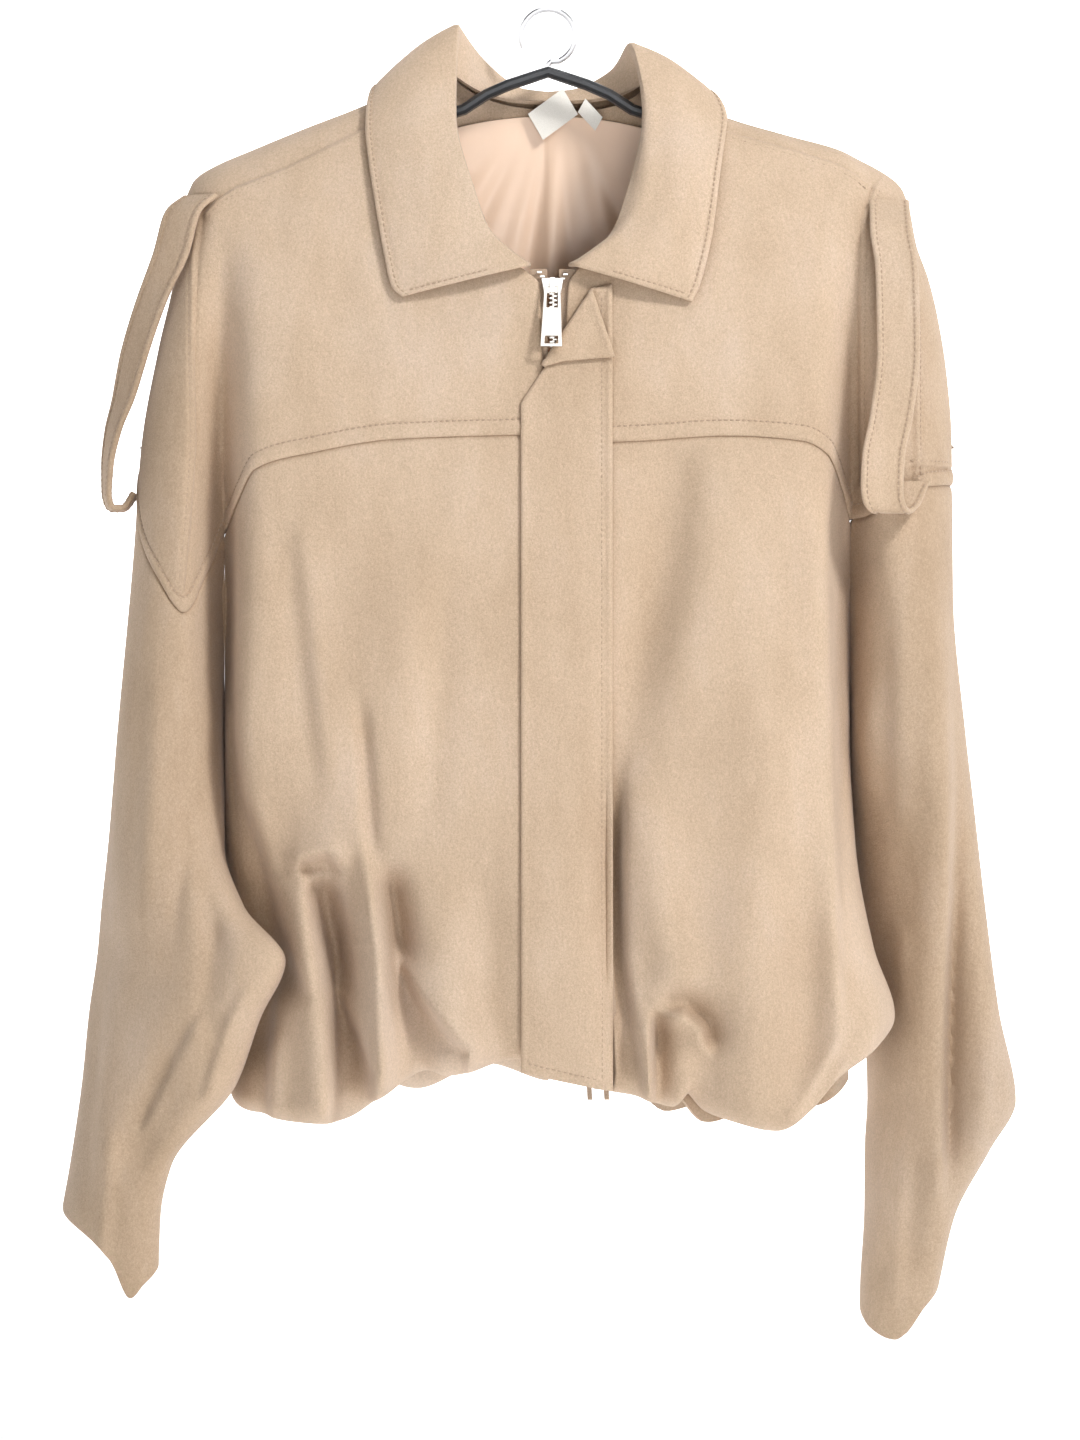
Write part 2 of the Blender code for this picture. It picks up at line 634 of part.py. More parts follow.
def sleeve_surface(side):
    """Sleeve below the yoke: u from its front inner edge round the outer edge to the back one."""

    def surface(u, v):
        angle = np.where(u <= 0.5, 360 * u, 360 * (1 - u))
        top = (read(SLEEVE_SEAM[side], "drop", angle, "angle")
               + CREASE_GAP[side] * near_crease(1 - angle / 180))
        bottom = read(CUFF[side], "drop", angle, "angle")
        drop = top + (bottom - top) * v
        split = CREASE_SPLIT * np.clip(v * SLEEVE_ROWS, 0, 1)
        front = sleeve_point(side, angle, drop, FRONT, split)
        back = sleeve_point(side, angle, drop, BACK, split)
        return np.where((u <= 0.5)[..., None], front, back)

    return surface


def make_panels(suede):
    whole = BODY_CELLS + SLEEVE_CELLS
    for side, name in ((LEFT, "left"), (RIGHT, "right")):
        u = np.linspace(0, 1, whole + 1)
        v = np.linspace(0, 1, YOKE_ROWS + 1)
        panel(f"front_yoke_{name}", yoke_surface(side, FRONT), u, v, 0, ("v0", "v1", "u1"),
              (BODY_CELLS,), suede)
        u = np.linspace(0, 1, BODY_CELLS + 1)
        v = np.linspace(0, 1, LOWER_ROWS + ROLL_ROWS + LEG_ROWS + 1)
        panel(f"front_lower_{name}", lower_surface(side, FRONT), u, v, 0, ("v0", "u1"),
              (BODY_CELLS,), suede)
        v = np.linspace(0, 1, SLEEVE_ROWS + 1)
        for half, start in (("front", 0.0), ("back", 0.5)):
            u = np.linspace(start, start + 0.5, SLEEVE_CELLS + 1)
            panel(f"sleeve_{name}_{half}", sleeve_surface(side), u, v, side * SLEEVE_AXIS_X,
                  ("v0", "u0", "u1"), (), suede)


def mirrored_grid(build, u, v):
    """One wall over both halves of the back, from the left edge through the middle to the right."""
    grids = []
    for side in (LEFT, RIGHT):
        surface = build(side)
        grid_u, grid_v = np.meshgrid(u, v, indexing="ij")
        outer = surface(grid_u, grid_v)
        normals = surface_normals(surface, grid_u, grid_v, 0)
        grids.append((outer, normals))
    left_outer, left_normals = (part[::-1] for part in grids[0])
    right_outer, right_normals = grids[1]
    middle = unit(left_normals[-1] + right_normals[0])
    outer = np.concatenate([left_outer, right_outer[1:]])
    normals = np.concatenate([left_normals[:-1], middle[None], right_normals[1:]])
    return outer, normals


def make_back(suede):
    u = np.linspace(0, 1, BODY_CELLS + SLEEVE_CELLS + 1)
    v = np.linspace(0, 1, YOKE_ROWS + 1)
    outer, normals = mirrored_grid(lambda side: yoke_surface(side, BACK), u, v)
    outer = drawn_in(outer, ("v0", "v1", "u0", "u1"))
    for column in (SLEEVE_CELLS, -1 - SLEEVE_CELLS):
        straighten_crease(outer, normals, column)
    wall_mesh("back_yoke", outer, outer + WALL * normals, suede)
    u = np.linspace(0, 1, BODY_CELLS + 1)
    v = np.linspace(0, 1, LOWER_ROWS + ROLL_ROWS + LEG_ROWS + 1)
    outer, normals = mirrored_grid(lambda side: lower_surface(side, BACK), u, v)
    outer = drawn_in(outer, ("v0", "u0", "u1"))
    for column in (0, -1):
        straighten_crease(outer, normals, column)
    wall_mesh("back_lower", outer, outer + WALL * normals, suede)


def make_band(suede):
    """The hem band, in one length from the left edge of the zip round the back to the right edge."""
    u = np.linspace(0, 1, BODY_CELLS + 1)
    v = np.linspace(0, 1, BAND_ROWS + 1)
    grid_u, grid_v = np.meshgrid(u, v, indexing="ij")
    layers = []
    for inset in (BAND_INSET, BAND_INSET + BAND_WALL):
        quarters = []
        for side, face, reverse in ((LEFT, FRONT, False), (LEFT, BACK, True), (RIGHT, BACK, False),
                                    (RIGHT, FRONT, True)):
            points = band_surface(side, face, inset)(grid_u, grid_v)
            quarters.append(points[::-1] if reverse else points)
        for first, second in zip(quarters, quarters[1:]):
            second[0] = (first[-1] + second[0]) / 2
        layers.append(np.concatenate([points[:-1] for points in quarters[:-1]] + [quarters[-1]]))
    wall_mesh("hem_band", *layers, suede)


# ---------------------------------------------------------------------------------------- collar

# Along the collar from its front end (place 0) to the middle of the back (place 7): where it is sewn
# in, where it turns over, and its loose edge
COLLAR = {
    LEFT: table(
        "place neck_x neck_drop neck_y roll_x roll_drop roll_y edge_x edge_drop edge_y",
        (0, 10, 156.5, -44, 11.5, 157, -54, 86, 175, -49.5),
        (1, 26, 147, -43, 24, 146, -52, 92, 170, -49),
        (2, 37, 136, -40, 34, 135, -48, 97, 150, -46.5),
        (3, 46.5, 114, -37, 44, 107, -44, 101, 128, -43),
        (4, 57.5, 70, -22, 54.5, 62, -27, 109, 71, -23),
        (5, 58.5, 36, 0, 53, 6, 0, 105, 47, 2),
        (6, 38, 48, 12, 38, 24, 26, 84, 74, 28),
        (6.6, 15, 51.7, 19.2, 15, 41, 29.6, 36, 104, 39.3),
        (7, 0, 52, 20, 0, 43, 30, 0, 107, 40)),
    RIGHT: table(
        "place neck_x neck_drop neck_y roll_x roll_drop roll_y edge_x edge_drop edge_y",
        (0, 12, 156.5, -44, 15, 157, -54, 85, 178, -49.5),
        (1, 28, 147, -43, 29, 146, -52, 89, 170, -49),
        (2, 38, 137, -40, 44, 134, -48, 97, 138, -46),
        (3, 47, 114, -37, 57, 108, -45, 102, 101, -36),
        (4, 57, 70, -22, 58, 68, -30, 107, 65, -13),
        (5, 58, 42, 0, 48, 17, 0, 98, 50, 1),
        (6, 38, 50, 12, 38, 30, 26, 84, 78, 27.5),
        (6.6, 15, 51.7, 19.2, 15, 41.5, 29.6, 36, 104, 39.3),
        (7, 0, 52, 20, 0, 43, 30, 0, 107, 40)),
}
COLLAR_WALL = 2.5
COLLAR_CELLS = 14
COLLAR_BEND = 6.0       # how far from the turn the bend begins
COLLAR_STAND_SHARE = 0.4    # but no more than this share of the stand
COLLAR_LIFT = (3.0, 2.4)    # the fall swells this far off a straight line, at its thirds
COLLAR_CENTRE = np.array([0.0, 0.0, -120.0])


def collar_line(rows, part, place):
    return np.stack([read(rows, part + "_x", place, "place"), read(rows, part + "_y", place, "place"),
                     -read(rows, part + "_drop", place, "place")], axis=-1)


def make_collar(suede):
    place = np.linspace(0, 7, COLLAR_CELLS + 1)
    halves_of_collar = []
    for side in (LEFT, RIGHT):
        neck, roll, edge = (collar_line(COLLAR[side], part, place) for part in ("neck", "roll", "edge"))
        stand = np.linalg.norm(neck - roll, axis=-1, keepdims=True)
        before = roll + (neck - roll) * np.minimum(COLLAR_BEND / stand, COLLAR_STAND_SHARE)
        after = roll + unit(edge - roll) * COLLAR_BEND
        bend = (before + 2 * roll + after) / 4
        along = np.gradient(edge, axis=0)
        lift = unit(np.cross(along, edge - roll))
        lift *= np.sign((lift * (edge - COLLAR_CENTRE)).sum(axis=-1, keepdims=True))
        fall = [after + (edge - after) * (number + 1) / 3 + height * lift
                for number, height in enumerate(COLLAR_LIFT)]
        points = np.stack([neck, (neck + before) / 2, before, bend, after, *fall, edge], axis=1)
        points[..., 0] *= side
        halves_of_collar.append(points)
    left, right = halves_of_collar
    sheet("collar", np.concatenate([left, right[-2::-1]]), COLLAR_WALL, suede)


# ------------------------------------------------------------------------------------------- zip

def beside_zip(drop, beside, inward):
    """Points at a distance beside the zip's middle, this far inside the front's outer surface."""
    x = zip_x(drop) + beside
    return np.stack([x, -(surface_depth(x, drop) - inward), -drop], axis=-1)


CHAIN_TOP, CHAIN_END = 173.2, 647.0
CHAIN_HALF, CHAIN_WALL, CHAIN_INWARD = 3.0, 3.0, 3.4
TAPE_TOP = 158.0
TAPE_INNER, TAPE_OUTER, TAPE_END_OUTER = 3.5, 13.5, 6.4     # beside the zip's middle
TAPE_NARROWS, TAPE_NARROW = 596.0, 612.0                    # drops where the tapes narrow to the gap
TAPE_WALL, TAPE_INWARD = 0.8, 4.1


def make_zip(nickel, cloth):
    drop = np.linspace(CHAIN_TOP, CHAIN_END, 25)
    rows = [beside_zip(drop, side * CHAIN_HALF, CHAIN_INWARD) for side in (LEFT, RIGHT)]
    sheet("zip_chain", np.stack(rows), CHAIN_WALL, nickel)
    drop = np.concatenate([np.linspace(TAPE_TOP, TAPE_NARROWS, 23),
                           np.linspace(TAPE_NARROW, CHAIN_END, 3)])
    outer = np.interp(drop, (TAPE_NARROWS, TAPE_NARROW), (TAPE_OUTER, TAPE_END_OUTER))
    for side, name in ((LEFT, "left"), (RIGHT, "right")):
        rows = [beside_zip(drop, side * beside, TAPE_INWARD) for beside in (TAPE_INNER, outer)]
        sheet(f"zip_tape_{name}", np.stack(rows), TAPE_WALL, cloth)


FLAT_BELOW, BEVEL_ABOVE = math.radians(8), math.radians(50)


def blocks(name, x, out, drop, filled, place, made_of, bevel):
    """A body of filled cells between the planes x, out and drop, put in place by a function."""
    solid = {(i, j, k) for i, j, k in filled}
    corners, faces = {}, []
    steps = ((0, -1), (0, 1), (1, -1), (1, 1), (2, -1), (2, 1))
    for cell in sorted(solid):
        for axis, sign in steps:
            beside = list(cell)
            beside[axis] += sign
            if tuple(beside) in solid:
                continue
            base = list(cell)
            base[axis] += sign > 0
            first, second = (other for other in range(3) if other != axis)
            ring = []
            for a, b in ((0, 0), (1, 0), (1, 1), (0, 1)):
                corner = list(base)
                corner[first] += a
                corner[second] += b
                ring.append(corners.setdefault(tuple(corner), len(corners)))
            faces.append(ring)
    points = [place(x[i], out[j], drop[k]) for i, j, k in corners]
    made = new_object(name, points, faces, made_of)
    edit = bmesh.new()
    edit.from_mesh(made.data)
    flat = [edge for edge in edit.edges if edge.calc_face_angle(0) < FLAT_BELOW]
    bmesh.ops.dissolve_edges(edit, edges=flat, use_verts=True)
    sharp = [edge for edge in edit.edges if edge.calc_face_angle(0) > BEVEL_ABOVE]
    bmesh.ops.bevel(edit, geom=sharp, offset=bevel * MM, segments=1, affect="EDGES", clamp_overlap=True)
    bmesh.ops.triangulate(edit, faces=edit.faces)
    edit.to_mesh(made.data)
    edit.free()
    return made


# The slider's plate and its bridge, cut at these distances from the pivot and at these drops
SLIDER_ACROSS = (-6.5, -1.75, 1.75, 6.5)
SLIDER_OUT = (-0.8, 2.8, 6.6, 8.0)
SLIDER_DROP = (164, 165.6, 171.2, 172.8)
SLIDER_PLATE = [(i, 0, k) for i in range(3) for k in range(3)]
SLIDER_BRIDGE = [(1, 1, 0), (1, 2, 0), (1, 2, 1), (1, 2, 2), (1, 1, 2)]
SLIDER_NARROW = 0.25        # loss of width down to SLIDER_NARROW_END
SLIDER_NARROW_END = 173.0
SLIDER_BEVEL, PULL_BEVEL = 0.3, 0.25

PULL_X, PULL_DROP, PULL_OUT = 2.6, 168.4, 4.7       # the pivot, and how far it stands off the front
PULL_LEAN = math.radians(15)                        # the pull rests on the turned corner of the flap
PULL_ACROSS = (-1, -0.66, 0.66, 1)                  # side bars and windows, as shares of half the width
PULL_DOWN = (-0.8, 0.8, 14, 31.5, 36.4, 38)         # from the pivot: bar, window, tab, window, bar
PULL_HALF_TOP, PULL_HALF_END, PULL_HALF_WALL = 4.6, 6.3, 0.8
PULL_SHIFT = -0.8                                   # the lower end hangs a little to the left


def make_slider(nickel):
    pivot_y = -float(surface_depth(np.array(PULL_X), np.array(PULL_DROP)))

    def on_front(x, out, drop):
        share = np.clip((drop - SLIDER_DROP[0]) / (SLIDER_NARROW_END - SLIDER_DROP[0]), 0, 1)
        return PULL_X + x * (1 - SLIDER_NARROW * share), pivot_y - out, -drop

    blocks("zip_slider", SLIDER_ACROSS, SLIDER_OUT, SLIDER_DROP, SLIDER_PLATE + SLIDER_BRIDGE, on_front,
           nickel, SLIDER_BEVEL)

    def hanging(across, out, down):
        share = np.clip(down / PULL_DOWN[-1], 0, 1)
        half = PULL_HALF_TOP + (PULL_HALF_END - PULL_HALF_TOP) * share
        swung = PULL_OUT + out * math.cos(PULL_LEAN) + down * math.sin(PULL_LEAN)
        drop = PULL_DROP + down * math.cos(PULL_LEAN) - out * math.sin(PULL_LEAN)
        return PULL_X + PULL_SHIFT * share + across * half, pivot_y - swung, -drop

    windows = ((1, 0, 1), (1, 0, 3))
    frame = [(i, 0, k) for i in range(3) for k in range(5) if (i, 0, k) not in windows]
    blocks("zip_pull", PULL_ACROSS, (-PULL_HALF_WALL, PULL_HALF_WALL), PULL_DOWN, frame, hanging,
           nickel, PULL_BEVEL)


# ------------------------------------------------------------------------------------ storm flap

FLAP_FOLD = np.array([(29, 169), (-16.2, 238)], float)      # x, drop: the corner is turned along here
FLAP_OUTLINE = ((29, 169), (38, 167), (38, 642), (32, 641), (-16, 631), (-16.2, 238))
TURNED_EDGE = ((9, 213.5), (39.6, 211))                     # the turned corner's edge as it lies
FLAP_WALL = 1.8
TURNED_LENGTH = 57.0    # length of the fold line where the corner is turned
FLAP_WELD = 0.3         # points of the flat flap closer than this are one
FLAP_BEND = 1.7         # radius of the bend, in the middle of the cloth
FLAP_CLEAR = 0.7
FLAP_GRID_X = (-7, 2, 11, 20, 29)
FLAP_GRID_DROP = np.arange(192, 640, 28)


def make_flap(suede):
    """The flap over the zip, cut flat with its corner still out, and then turned over."""
    start = FLAP_FOLD[0]
    along = unit(FLAP_FOLD[1] - start)
    over = np.array([-along[1], along[0]])
    arc = math.pi * FLAP_BEND

    def turned_back(point):
        away = (np.array(point) - start) @ over
        return np.array(point) - 2 * away * over + arc * over

    outline = [np.array(point, float) for point in FLAP_OUTLINE]
    end = start + TURNED_LENGTH * along
    outline += [end, end + arc * over] + [turned_back(point) for point in TURNED_EDGE]
    edit = bmesh.new()
    edit.faces.new([edit.verts.new((x, drop, 0)) for x, drop in outline])
    cuts = [((x, 0), (1, 0)) for x in FLAP_GRID_X] + [((0, drop), (0, 1)) for drop in FLAP_GRID_DROP]
    cuts += [(start + over * away, over) for away in np.linspace(0, arc, 5)]
    for point, normal in cuts:
        bmesh.ops.bisect_plane(edit, geom=edit.verts[:] + edit.edges[:] + edit.faces[:], dist=1e-4,
                               plane_co=(*point, 0), plane_no=(*normal, 0))
    bmesh.ops.remove_doubles(edit, verts=edit.verts[:], dist=FLAP_WELD)
    bmesh.ops.triangulate(edit, faces=edit.faces[:], quad_method="BEAUTY", ngon_method="BEAUTY")
    edit.normal_update()
    flip = edit.faces[:][0].normal.z > 0
    flat = np.array([vertex.co[:2] for vertex in edit.verts])
    edit.verts.index_update()
    triangles = [[vertex.index for vertex in face.verts] for face in edit.faces]
    if flip:
        triangles = [triangle[::-1] for triangle in triangles]
    edit.free()
    away = np.maximum((flat - start) @ over, 0)
    angle = np.clip(away / FLAP_BEND, 0, math.pi)
    reach = FLAP_BEND * np.sin(angle) - np.maximum(away - arc, 0)
    folded = flat + (reach - away)[:, None] * over
    lift = FLAP_CLEAR + FLAP_WALL / 2 + FLAP_BEND * (1 - np.cos(angle))
    x, drop = folded.T
    points = np.stack([x, -(spanned_depth(x, drop) + lift), -drop], axis=-1)
    normals = np.zeros_like(points)
    for triangle in triangles:
        first, second, third = points[triangle]
        normals[triangle] += unit(np.cross(second - first, third - first))
    half = FLAP_WALL / 2 * unit(normals)
    shell("storm_flap", points + half, points - half, triangles, suede)


# ------------------------------------------------------------------------- straps, hanger, lining

STRAPS = {
    LEFT: table(
        "x y drop turn",
        (-207, -23, 113, 34),
        (-217, -25, 122, 30),
        (-225, -25, 149, 30),
        (-236, -17, 173, 40),
        (-246.6, -10, 203, 46),
        (-254.5, -6, 233, 57),
        (-260.5, -4, 251, 66),
        (-264, -4, 272, 74),
        (-264.5, -4, 288, 78),
        (-261.5, -2.5, 298, 82),
        (-255, -1, 298, 86),
        (-247.65, 0, 289, 90)),
    RIGHT: table(
        "x y drop turn",
        (203, -24, 116, 20),
        (203, -38, 134, 14),
        (206, -47, 160, 8),
        (206.5, -54, 205, 8),
        (202, -59, 245, 8),
        (197, -62, 270, 10),
        (196, -65, 289, 12),
        (197.5, -65, 298, 14),
        (202, -60, 302, 16),
        (207, -54.5, 298, 18),
        (211, -50.5, 290, 20),
        (214, -48.5, 284, 22)),
}
STRAP_HALF, STRAP_WALL = 13.0, 3.0


def make_straps(suede):
    for side, name in ((LEFT, "left"), (RIGHT, "right")):
        rows = STRAPS[side]
        knots = np.arange(len(rows["x"]))
        at = np.linspace(0, knots[-1], 2 * len(knots) - 1)
        path = np.stack([blend(knots, rows[axis], at) for axis in ("x", "y", "drop")], axis=-1)
        path[:, 2] *= -1
        turn = np.radians(blend(knots, rows["turn"], at))
        across = np.stack([np.cos(turn), side * np.sin(turn), np.zeros_like(turn)], axis=-1)
        sheet(f"strap_{name}", np.stack([path - STRAP_HALF * across, path + STRAP_HALF * across]),
              STRAP_WALL, suede)


def rod(name, path, half_tall, half_deep, made_of):
    """A rod with an oval section along x, drop points in the plane y = 0."""
    path = np.array([(x, 0, -drop) for x, drop in path])
    along = unit(np.gradient(path, axis=0))
    tall = np.stack([-along[:, 2], np.zeros(len(path)), along[:, 0]], axis=-1)
    sides = ROD_SIDES
    turn = np.linspace(0, 2 * np.pi, sides, endpoint=False)
    ring = (half_tall * np.cos(turn)[None, :, None] * tall[:, None]
            + half_deep * np.sin(turn)[None, :, None] * np.array([0, 1, 0]))
    points = (path[:, None] + ring).reshape(-1, 3)
    faces = [[place * sides + k, place * sides + (k + 1) % sides, (place + 1) * sides + (k + 1) % sides,
              (place + 1) * sides + k] for place in range(len(path) - 1) for k in range(sides)]
    faces += [list(range(sides)), [(len(path) - 1) * sides + k for k in range(sides)]]
    return new_object(name, points, faces, made_of)


HANGER_ARM = table("x drop", (0, 36), (33, 47.5), (55, 60.5), (80, 66), (110, 72.6), (150, 86.6),
                   (186, 103))
HANGER_HALF_TALL, HANGER_HALF_DEEP = 3.5, 4.5
HANGER_X = np.concatenate([np.linspace(-186, -10, 14), [0], np.linspace(10, 186, 14)])
HOOK_RADIUS, HOOK_WIRE = 16.25, 1.75        # radius to the middle of the wire, and the wire's own
HOOK_OPEN, HOOK_LEAVES = math.radians(205), math.radians(-66)   # from the open end to the stem
HOOK_STEM = [(2.0, 29.6), (0.5, 31.0), (0, 32.0)]
ROD_SIDES = 10


def make_hanger(dark, steel):
    drop = read(HANGER_ARM, "drop", np.abs(HANGER_X), "x")
    rod("hanger_arms", np.stack([HANGER_X, drop], axis=-1), HANGER_HALF_TALL, HANGER_HALF_DEEP, dark)
    middle = HOOK_RADIUS - HOOK_WIRE
    turn = np.linspace(HOOK_OPEN, HOOK_LEAVES, 24)
    bend = [(HOOK_RADIUS * math.cos(a), middle - HOOK_RADIUS * math.sin(a)) for a in turn]
    rod("hanger_hook", bend + HOOK_STEM, HOOK_WIRE, HOOK_WIRE, steel)


LINING_HALF, LINING_TOP, LINING_SAG, LINING_END = 72.0, 60.0, 12.0, 215.0
LINING_WALL = 1.2
LINING_CLEAR, LINING_DROOP = 0.6, 4.0       # how far it hangs off the back, at the top and below
LINING_BOW = 2.2        # and how much more at its side edges
LINING_FOLDS, LINING_FOLD_COUNT = 2.0, 11   # height of its folds, and their number per 2 pi of angle
LINING_CENTRE = (7.0, 26.0)     # the lining's folds spread from here


def make_lining(satin):
    x, share = np.meshgrid(np.linspace(-LINING_HALF, LINING_HALF, 19), np.linspace(0, 1, 8),
                           indexing="ij")
    top = LINING_TOP + LINING_SAG * (x / LINING_HALF) ** 2
    drop = top + (LINING_END - top) * share
    angle = np.arctan2(x - LINING_CENTRE[0], drop - LINING_CENTRE[1])
    waves = LINING_FOLDS * np.cos(LINING_FOLD_COUNT * angle) * np.clip(2 * share, 0, 1)
    inward = (WALL + LINING_WALL / 2 + LINING_CLEAR + LINING_BOW * (x / LINING_HALF) ** 2
              + LINING_DROOP * share + waves * share)
    y = surface_depth(x, drop, BACK) - inward
    sheet("back_lining", np.stack([x, y, -drop], axis=-1), LINING_WALL, satin)


# Each label's lowest corner, its sides up to the left and right (x, drop), and y low and high
LABELS = {
    "label_main": ((-3, 74.4), (-9.1, -15.5), (21.1, -15.2), 20.2, 16.5),
    "label_size": ((28.5, 69), (-10.5, -11), (4.5, -8), 19.4, 15.6),
}
LABEL_WALL = 0.8


def make_label(name, corner, up_left, up_right, y_low, y_high, made_of):
    """A flat label standing on its lowest corner; the other sides run up to the left and right."""
    corner, left, right = (np.array(part, float) for part in (corner, up_left, up_right))
    shares = np.linspace(0, 1, 3)
    flat = np.array([[corner + a * left + b * right for b in shares] for a in shares])
    rise = (corner[1] - flat[..., 1]) / -(left[1] + right[1])
    y = y_low + (y_high - y_low) * rise
    sheet(name, np.stack([flat[..., 0], y, -flat[..., 1]], axis=-1), LABEL_WALL, made_of)


def clear_scene():
    for thing in list(bpy.data.objects):
        bpy.data.objects.remove(thing, do_unlink=True)


def main():
    clear_scene()
    suede = material("suede", (0.66, 0.49, 0.34), 0.95)
    nickel = material("nickel", (0.80, 0.79, 0.74), 0.25, 1.0)
    dark = material("hanger_black", (0.03, 0.03, 0.035), 0.45)
    steel = material("hook_steel", (0.62, 0.62, 0.64), 0.3, 1.0)
    satin = material("lining_satin", (0.62, 0.42, 0.33), 0.4)
    tape = material("zip_tape", (0.42, 0.31, 0.22), 0.9)
    label = material("label_cream", (0.80, 0.76, 0.68), 0.8)
    make_panels(suede)
    make_back(suede)
    make_band(suede)
    make_collar(suede)
    make_zip(nickel, tape)
    make_slider(nickel)
    make_flap(suede)
    make_straps(suede)
    make_hanger(dark, steel)
    make_lining(satin)
    for name, place in LABELS.items():
        make_label(name, *place, label)


main()
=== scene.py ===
"""Looks of an oversized suede bomber jacket on a plain hanger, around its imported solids.

Sizes are in millimetres until a mesh is made, and heights are given as `drop`, the distance below
the hook's bearing point. `side` is -1 on the viewer's left and +1 on the right; `face` is +1 for the
front and -1 for the back.
"""
import math

import bmesh
import bpy
import numpy as np
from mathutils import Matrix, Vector


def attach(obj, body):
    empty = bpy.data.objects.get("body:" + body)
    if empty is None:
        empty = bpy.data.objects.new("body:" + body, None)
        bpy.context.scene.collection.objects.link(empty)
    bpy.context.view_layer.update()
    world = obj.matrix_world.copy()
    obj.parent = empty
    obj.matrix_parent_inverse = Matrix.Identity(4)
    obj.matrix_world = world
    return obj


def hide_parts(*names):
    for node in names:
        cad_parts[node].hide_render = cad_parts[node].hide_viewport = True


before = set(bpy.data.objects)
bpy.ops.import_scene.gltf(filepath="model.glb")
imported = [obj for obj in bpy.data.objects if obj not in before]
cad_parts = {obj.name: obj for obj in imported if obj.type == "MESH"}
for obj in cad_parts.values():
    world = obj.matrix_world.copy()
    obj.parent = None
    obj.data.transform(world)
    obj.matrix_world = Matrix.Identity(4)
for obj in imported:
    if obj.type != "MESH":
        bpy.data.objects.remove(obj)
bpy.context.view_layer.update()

MM = 0.001
WALL = 2.0              # of the suede with its backing
LEFT, RIGHT = -1, 1
SIDES = ((LEFT, "left"), (RIGHT, "right"))
FRONT, BACK = 1, -1
FACES = {FRONT: "front", BACK: "back"}
BODY = "jacket"

# Cells of the solids' grids, which the panels' shapes are worked out from
BODY_CELLS = 16
SLEEVE_CELLS = 8
LOWER_ROWS = 14
ROLL_ROWS = 4
LEG_ROWS = 2
SLEEVE_ROWS = 18


def table(names, *rows):
    """Rows of numbers as a dictionary of named columns."""
    return dict(zip(names.split(), np.array(rows, float).T))


def cubic(part, step, low, high, slope_low, slope_high):
    """Between two knots `step` apart, from their values and slopes; `part` is 0-1."""
    square, cube = part ** 2, part ** 3
    return (low * (2 * cube - 3 * square + 1) + high * (3 * square - 2 * cube)
            + step * (slope_low * (cube - 2 * square + part) + slope_high * (cube - square)))


def blend(knots, values, at):
    """A smooth curve through the points (knots, values) that never overshoots them."""
    knots, values, at = (np.asarray(part, float) for part in (knots, values, at))
    step = np.diff(knots)
    rise = np.diff(values) / step
    slope = np.concatenate([rise[:1], np.zeros(len(rise) - 1), rise[-1:]])
    before, after = rise[:-1], rise[1:]
    near, far = 2 * step[1:] + step[:-1], step[1:] + 2 * step[:-1]
    same = before * after > 0
    slope[1:-1][same] = (near + far)[same] / (near[same] / before[same] + far[same] / after[same])
    k = np.clip(np.searchsorted(knots, at) - 1, 0, len(step) - 1)
    part = np.clip((at - knots[k]) / step[k], 0, 1)
    return cubic(part, step[k], values[k], values[k + 1], slope[k], slope[k + 1])


def read(rows, name, at, by="drop"):
    return blend(rows[by], rows[name], at)


def by_side(side, left, right):
    """Picks left or right values, for one side or for an array of sides."""
    return np.where(np.asarray(side) < 0, left, right)


def sided(rows, name, side, drop):
    """A column that the table has for the left and the right."""
    return by_side(side, read(rows, "left_" + name, drop), read(rows, "right_" + name, drop))


# Where the body loop ends and the sleeve loop starts, above the armpits
WEB_X = {LEFT: 194.0, RIGHT: 181.0}
CORNER_X = {LEFT: 218.0, RIGHT: 217.0}      # end of the shoulder line, where the sleeve turns down

# Drop of the shoulder line at each distance from the middle
SHOULDER = {
    LEFT: table("x drop", (0, 8), (62, 33), (110, 56), (148, 71), (177, 83), (202, 94), (212, 101),
                (218, 113)),
    RIGHT: table("x drop", (0, 14), (62, 41), (106, 63), (143, 74), (175, 83), (187, 89), (203, 98),
                 (212, 106), (217, 118)),
}

# The body loop: its sides (x and y), its depth in front and behind, and how square its corners are
BODY_LOOP = table(
    "drop left_x left_y right_x right_y front back corner",
    (0, 194, 0, 181, 0, 24, 26, 14),
    (130, 194, 0, 181, 0, 43, 40, 14),
    (256, 194, 0, 181, 0, 54, 50, 14),
    (340, 194, 0, 181, 0, 58, 54, 13),
    (430, 194, 0, 181, 0, 62, 58, 10),
    (500, 195, 12, 184, -8, 68, 62, 6),
    (560, 187, 16, 194, -20, 75, 67, 5),
    (600, 186, 14, 206, -28, 79, 70, 5),
    (640, 191, 10, 203, -24, 79, 70, 5),
    (690, 191, 10, 200, -20, 76, 68, 5),
)

# Depth that is left in the web between body and sleeve, as a share of the body's
WEB = table("drop share", (113, 1), (160, 0.97), (210, 0.9), (256, 0.78), (300, 0.62), (350, 0.42),
            (400, 0.18), (430, 0))

